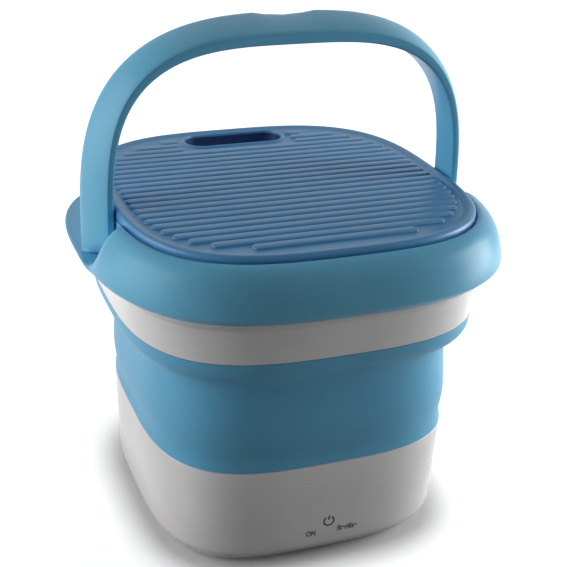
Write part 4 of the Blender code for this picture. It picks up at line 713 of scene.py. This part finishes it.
def handle_stations():
    """Inner point, outer point, front, rear and width of the front strip, tip to tip."""
    tip = PIVOT_Z - TIP_REAR_RADIUS
    leg = []
    for step in range(TIP_STEPS + 1):
        turn = math.pi / 2 * step / TIP_STEPS
        height = TIP_FRONT_RADIUS * (1 - math.cos(turn))
        front = HANDLE_FRONT_Y + TIP_FRONT_RADIUS * (1 - math.sin(turn))
        below = max(TIP_REAR_RADIUS - height, 0)
        rear = PIVOT_Y + math.sqrt(TIP_REAR_RADIUS**2 - below**2)
        leg.append((tip + height, front, rear))
    stations = [
        (Vector((-HANDLE_INNER_X, 0, z)), Vector((-HANDLE_HALF_WIDTH, 0, z)), front, rear, LEG_FLAT)
        for z, front, rear in leg
    ]
    rise = HANDLE_TOP_Z - ARCH_Z
    arch = []
    for step in range(ARCH_STEPS + 1):
        turn = math.pi * (1 - step / ARCH_STEPS)
        inner = arch_point(HANDLE_INNER_X, rise - HANDLE_TOP_THICKNESS, INNER_EXPONENT, turn)
        outer = arch_point(HANDLE_HALF_WIDTH, rise, OUTER_EXPONENT, turn)
        outer.z -= GRIP_DIP * max(0, 1 - (outer.x / GRIP_HALF_LENGTH) ** 2)
        flat = TOP_FLAT + (LEG_FLAT - TOP_FLAT) * (outer.x / HANDLE_HALF_WIDTH) ** 2
        arch.append((inner, outer, HANDLE_FRONT_Y, HANDLE_REAR_Y, flat))
    mirror = Matrix.Diagonal((-1, 1, 1))
    other = [(mirror @ a, mirror @ b, *rest) for a, b, *rest in reversed(stations)]
    return stations + arch[1:-1] + other


def arc(centre_u, centre_v, radius, start, end, steps):
    """Points of a round, between two angles in degrees."""
    turns = [math.radians(start + (end - start) * step / steps) for step in range(steps + 1)]
    return [
        (centre_u + radius * math.cos(turn), centre_v + radius * math.sin(turn)) for turn in turns
    ]


def handle_section(thickness, width, flat):
    """A narrow strip in front, then a broad face that leans back to the rear edge."""
    small = min(EDGE_ROUND, 0.3 * width)
    crease = min(CREASE_ROUND, 0.2 * width)
    points = arc(small, small, small, 180, 270, 4)
    points += arc(flat - crease, crease, crease, 270, 270 + CREASE_TURN, 3)
    start = Vector(points[-1])
    lean = Vector((thickness, width - small)) - start
    outward = Vector((lean.y, -lean.x)).normalized()
    for step in range(1, FACE_STEPS):
        share = step / FACE_STEPS
        place = start + lean * share + outward * FACE_BULGE * 4 * share * (1 - share)
        points.append(tuple(place))
    points += arc(thickness - small, width - small, small, 0, 90, 4)
    points += arc(small, width - small, small, 90, 180, 4)
    return points


def make_handle():
    bm = bmesh.new()
    stations = handle_stations()
    count = len(handle_section(HANDLE_TOP_THICKNESS, HANDLE_REAR_Y - HANDLE_FRONT_Y, TOP_FLAT))
    ring = bmesh.ops.create_circle(bm, cap_ends=True, segments=count, radius=1)["verts"]
    start = next(iter(ring[0].link_faces))
    ring = [loop.vert for loop in start.loops]
    for number, (inner, outer, front, rear, flat) in enumerate(stations):
        if number:
            edges = [bm.edges.get(pair) for pair in zip(ring, ring[1:] + ring[:1])]
            made = bmesh.ops.extrude_edge_only(bm, edges=edges)["geom"]
            fresh = {item for item in made if isinstance(item, bmesh.types.BMVert)}
            ring = [
                next(e.other_vert(v) for e in v.link_edges if e.other_vert(v) in fresh)
                for v in ring
            ]
        across = outer - inner
        direction = across.normalized()
        section = handle_section(across.length, rear - front, flat)
        for vert, (u, v) in zip(ring, section):
            vert.co = inner + direction * u + Vector((0, front + v, 0))
    bm.faces.new(ring)
    piece("carry_handle", bm, BLUE_GLOSS, "handle", ["handle"], 30)


# Printed marks on the control side
MARK_LIFT = 0.00006
WORD_BOLD = 0.040
WORD_NARROW = 0.80
POWER_X = 0.0015
POWER_Z = 0.0340
POWER_RADIUS = 0.0040
POWER_STROKE = 0.0015
POWER_GAP = 32
POWER_BAR_RISE = 0.75


def front_face(x, z):
    """The base's front face at a width and height, as a place just proud of it."""
    low = SHELL_BOTTOM_Z + BASE_ROUND
    width = BASE_LOW + (BASE_TOP - BASE_LOW) * (z - low) / (BASE_TOP_Z - low)
    depth = width + BASE_EXTRA_DEPTH
    share = (1 - (abs(x) / width) ** BASE_CORNER_EXPONENT) ** (1 / BASE_CORNER_EXPONENT)
    return Vector((x, -depth * share - MARK_LIFT, z))


def print_mark(name, bm):
    for vert in bm.verts:
        vert.co = front_face(vert.co.x, vert.co.z)
    piece(name, bm, INK, "base")


def make_power_mark():
    """An open ring with a bar in its gap."""
    bm = bmesh.new()
    gap = math.radians(POWER_GAP)
    low = bm.verts.new((0, 0, POWER_RADIUS - POWER_STROKE / 2))
    high = bm.verts.new((0, 0, POWER_RADIUS + POWER_STROKE / 2))
    edge = bm.edges.new((low, high))
    turned = Matrix.Rotation(gap, 3, "Y")
    bmesh.ops.rotate(bm, cent=(0, 0, 0), matrix=turned, verts=[low, high])
    bmesh.ops.spin(
        bm, geom=[low, high, edge], cent=(0, 0, 0), axis=(0, 1, 0),
        angle=2 * math.pi - 2 * gap, steps=40, use_merge=False, use_duplicate=False,
    )
    bar = bmesh.ops.create_grid(bm, x_segments=1, y_segments=4, size=0.5)["verts"]
    size = Matrix.Diagonal((POWER_STROKE, POWER_RADIUS, 1))
    stand = Matrix.Rotation(math.pi / 2, 3, "X")
    bmesh.ops.transform(bm, matrix=(stand @ size).to_4x4(), verts=bar)
    bmesh.ops.translate(bm, vec=(0, 0, POWER_RADIUS * POWER_BAR_RISE), verts=bar)
    bmesh.ops.translate(bm, vec=(POWER_X, 0, POWER_Z), verts=bm.verts)
    print_mark("power_mark", bm)


def make_word(name, word, size, centre_x, centre_z):
    """A printed word, from Blender's own plain typeface."""
    text = bpy.data.curves.new(name, "FONT")
    text.body = word
    text.size = size
    text.offset = WORD_BOLD * size
    text.align_x = "CENTER"
    text.align_y = "CENTER"
    holder = bpy.data.objects.new(name, text)
    mesh = bpy.data.meshes.new_from_object(holder)
    bm = bmesh.new()
    bm.from_mesh(mesh)
    bpy.data.objects.remove(holder)
    bpy.data.curves.remove(text)
    bpy.data.meshes.remove(mesh)
    for vert in bm.verts:
        vert.co = Vector((centre_x + WORD_NARROW * vert.co.x, 0, centre_z + vert.co.y))
    print_mark(name, bm)


make_base()
make_cover()
make_wall()
make_band()
make_rim()
make_lid()
make_handle()
make_power_mark()
make_word("on_mark", "ON", 0.0062, -0.0127, 0.0250)
make_word("sterilise_mark", "Sterilize", 0.0064, 0.0170, 0.0255)

# Finishes of the CAD nodes that still show, by the start of their names
NODE_FINISHES = (
    ("band_clamp_ring", WHITE_GLOSS), ("base_clamp_ring", WHITE_GLOSS),
    ("band_clamp_screw", STEEL), ("base_clamp_screw", STEEL), ("board_screw", STEEL),
    ("cover_screw", STEEL), ("motor_screw", STEEL), ("rim_screw", STEEL),
    ("bottom_cover", WHITE_GLOSS), ("tub_pan", WHITE_GLOSS), ("control_board", BOARD),
    ("dc_jack", BLACK), ("drain_nut", BLACK), ("drain_plug", RUBBER),
    ("drain_spout", WHITE_GLOSS), ("drive_shaft", STEEL), ("foot_", RUBBER),
    ("handle_pin", STEEL), ("handle_washer", BLACK), ("impeller", WHITE_GLOSS),
    ("lower_bush", STEEL), ("upper_bush", STEEL), ("motor_bracket", STEEL),
    ("motor_can", STEEL), ("rotor", STEEL), ("shaft_seal", RUBBER), ("stator", COPPER),
    ("steriliser_lamp", BLACK), ("steriliser_lens", CLEAR), ("touch_contact", RUBBER),
    ("base_shell", WHITE_GLOSS), ("upper_band", WHITE_GLOSS), ("rim", BLUE_GLOSS),
    ("lid", BLUE_SATIN), ("handle", BLUE_GLOSS), ("bellows", SOFT_WALL),
)


def finish_nodes():
    for name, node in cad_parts.items():
        found = [finish for start, finish in NODE_FINISHES if name.startswith(start)]
        for material_slot in node.material_slots:
            material_slot.material = found[0]


finish_nodes()


# Studio
def seen_rays(tree):
    """1 for rays that show the backdrop itself: straight, in gloss and through glass."""
    path = add_node(tree, "ShaderNodeLightPath")
    total = None
    for name in ("Is Camera Ray", "Is Glossy Ray", "Is Transmission Ray"):
        if total is None:
            total = path.outputs[name]
            continue
        both = add_node(tree, "ShaderNodeMath", {"operation": "MAXIMUM"})
        tree.links.new(total, both.inputs[0])
        tree.links.new(path.outputs[name], both.inputs[1])
        total = both.outputs[0]
    return total


WORLD_LIGHT = 0.05


def make_world():
    world = bpy.data.worlds.new("studio")
    world.use_nodes = True
    tree = world.node_tree
    tree.nodes.clear()
    strength = add_node(tree, "ShaderNodeMapRange", {
        "To Min": WORLD_LIGHT, "To Max": 1.0,
    }, Value=seen_rays(tree))
    back = add_node(tree, "ShaderNodeBackground", {"Color": colour("#ffffff")})
    tree.links.new(strength.outputs["Result"], back.inputs["Strength"])
    output = add_node(tree, "ShaderNodeOutputWorld")
    tree.links.new(back.outputs["Background"], output.inputs["Surface"])
    bpy.context.scene.world = world


# Floor: its glow, and how far from the middle it grows to white
FLOOR_RADIUS = 4.0
NEAR_GLOW = 0.60
FAR_GLOW = 1.0
GLOW_START = 0.16
GLOW_END = 0.42
# Where the machine shades the floor closely, the glow goes out: a painted contact shadow at the
# base, on top of the lamps' own shadow
CONTACT_REACH = 0.035
SHADED = 0.55
UNSHADED = 0.95


def make_floor():
    """Pale paper, white far off; where it is seen it glows, but not in the corner at the base."""
    bm = bmesh.new()
    bmesh.ops.create_circle(bm, cap_ends=True, segments=96, radius=FLOOR_RADIUS)
    made, tree = new_material("paper_sweep")
    seen = seen_rays(tree)
    pale = add_node(tree, "ShaderNodeBsdfDiffuse", {"Color": colour("#fafafa")})
    dim = add_node(tree, "ShaderNodeBsdfDiffuse", {"Color": colour("#7c7c7c")})
    paper = add_node(tree, "ShaderNodeMixShader")
    tree.links.new(seen, paper.inputs["Fac"])
    tree.links.new(dim.outputs["BSDF"], paper.inputs[1])
    tree.links.new(pale.outputs["BSDF"], paper.inputs[2])
    # Painted contact shadow: the glow fades by ambient occlusion near the base
    open_sky = add_node(tree, "ShaderNodeAmbientOcclusion", {
        "samples": 8, "Distance": CONTACT_REACH,
    })
    lit = add_node(tree, "ShaderNodeMapRange", {
        "From Min": SHADED, "From Max": UNSHADED,
    }, Value=open_sky.outputs["AO"])
    place = add_node(tree, "ShaderNodeTexCoord").outputs["Object"]
    far = add_node(tree, "ShaderNodeVectorMath", {"operation": "LENGTH"}, Vector=place)
    glow_there = add_node(tree, "ShaderNodeMapRange", {
        "interpolation_type": "SMOOTHSTEP", "From Min": GLOW_START, "From Max": GLOW_END,
        "To Min": NEAR_GLOW, "To Max": FAR_GLOW,
    }, Value=far.outputs["Value"])
    strength = seen
    for factor in (lit, glow_there):
        step = add_node(tree, "ShaderNodeMath", {"operation": "MULTIPLY"})
        tree.links.new(strength, step.inputs[0])
        tree.links.new(factor.outputs["Result"], step.inputs[1])
        strength = step.outputs[0]
    glow = add_node(tree, "ShaderNodeEmission", {"Color": colour("#ffffff")})
    tree.links.new(strength, glow.inputs["Strength"])
    both = add_node(tree, "ShaderNodeAddShader")
    tree.links.new(paper.outputs["Shader"], both.inputs[0])
    tree.links.new(glow.outputs["Emission"], both.inputs[1])
    output = add_node(tree, "ShaderNodeOutputMaterial")
    tree.links.new(both.outputs["Shader"], output.inputs["Surface"])
    mesh = bpy.data.meshes.new("floor")
    bm.to_mesh(mesh)
    bm.free()
    mesh.materials.append(made)
    floor = bpy.data.objects.new("floor", mesh)
    bpy.context.scene.collection.objects.link(floor)


LAMP_TARGET = Vector((0, 0, 0.2))


def soft_box(name, place, size, watts):
    """A lamp with a soft wide face, turned to the middle of the machine."""
    data = bpy.data.lights.new(name, "AREA")
    data.shape = "RECTANGLE"
    data.size, data.size_y = size
    data.energy = watts
    light = bpy.data.objects.new(name, data)
    light.location = place
    aim = LAMP_TARGET - light.location
    light.rotation_euler = aim.to_track_quat("-Z", "Y").to_euler()
    bpy.context.scene.collection.objects.link(light)


make_world()
make_floor()
soft_box("left_box", (-1.7, 0.25, 0.70), (1.7, 1.5), 24)
soft_box("right_box", (1.20, -0.24, 0.30), (0.7, 0.9), 16.5)
soft_box("top_box", (0.1, 0.9, 1.9), (1.2, 1.2), 2.2)
bpy.context.scene.view_settings.view_transform = "Standard"
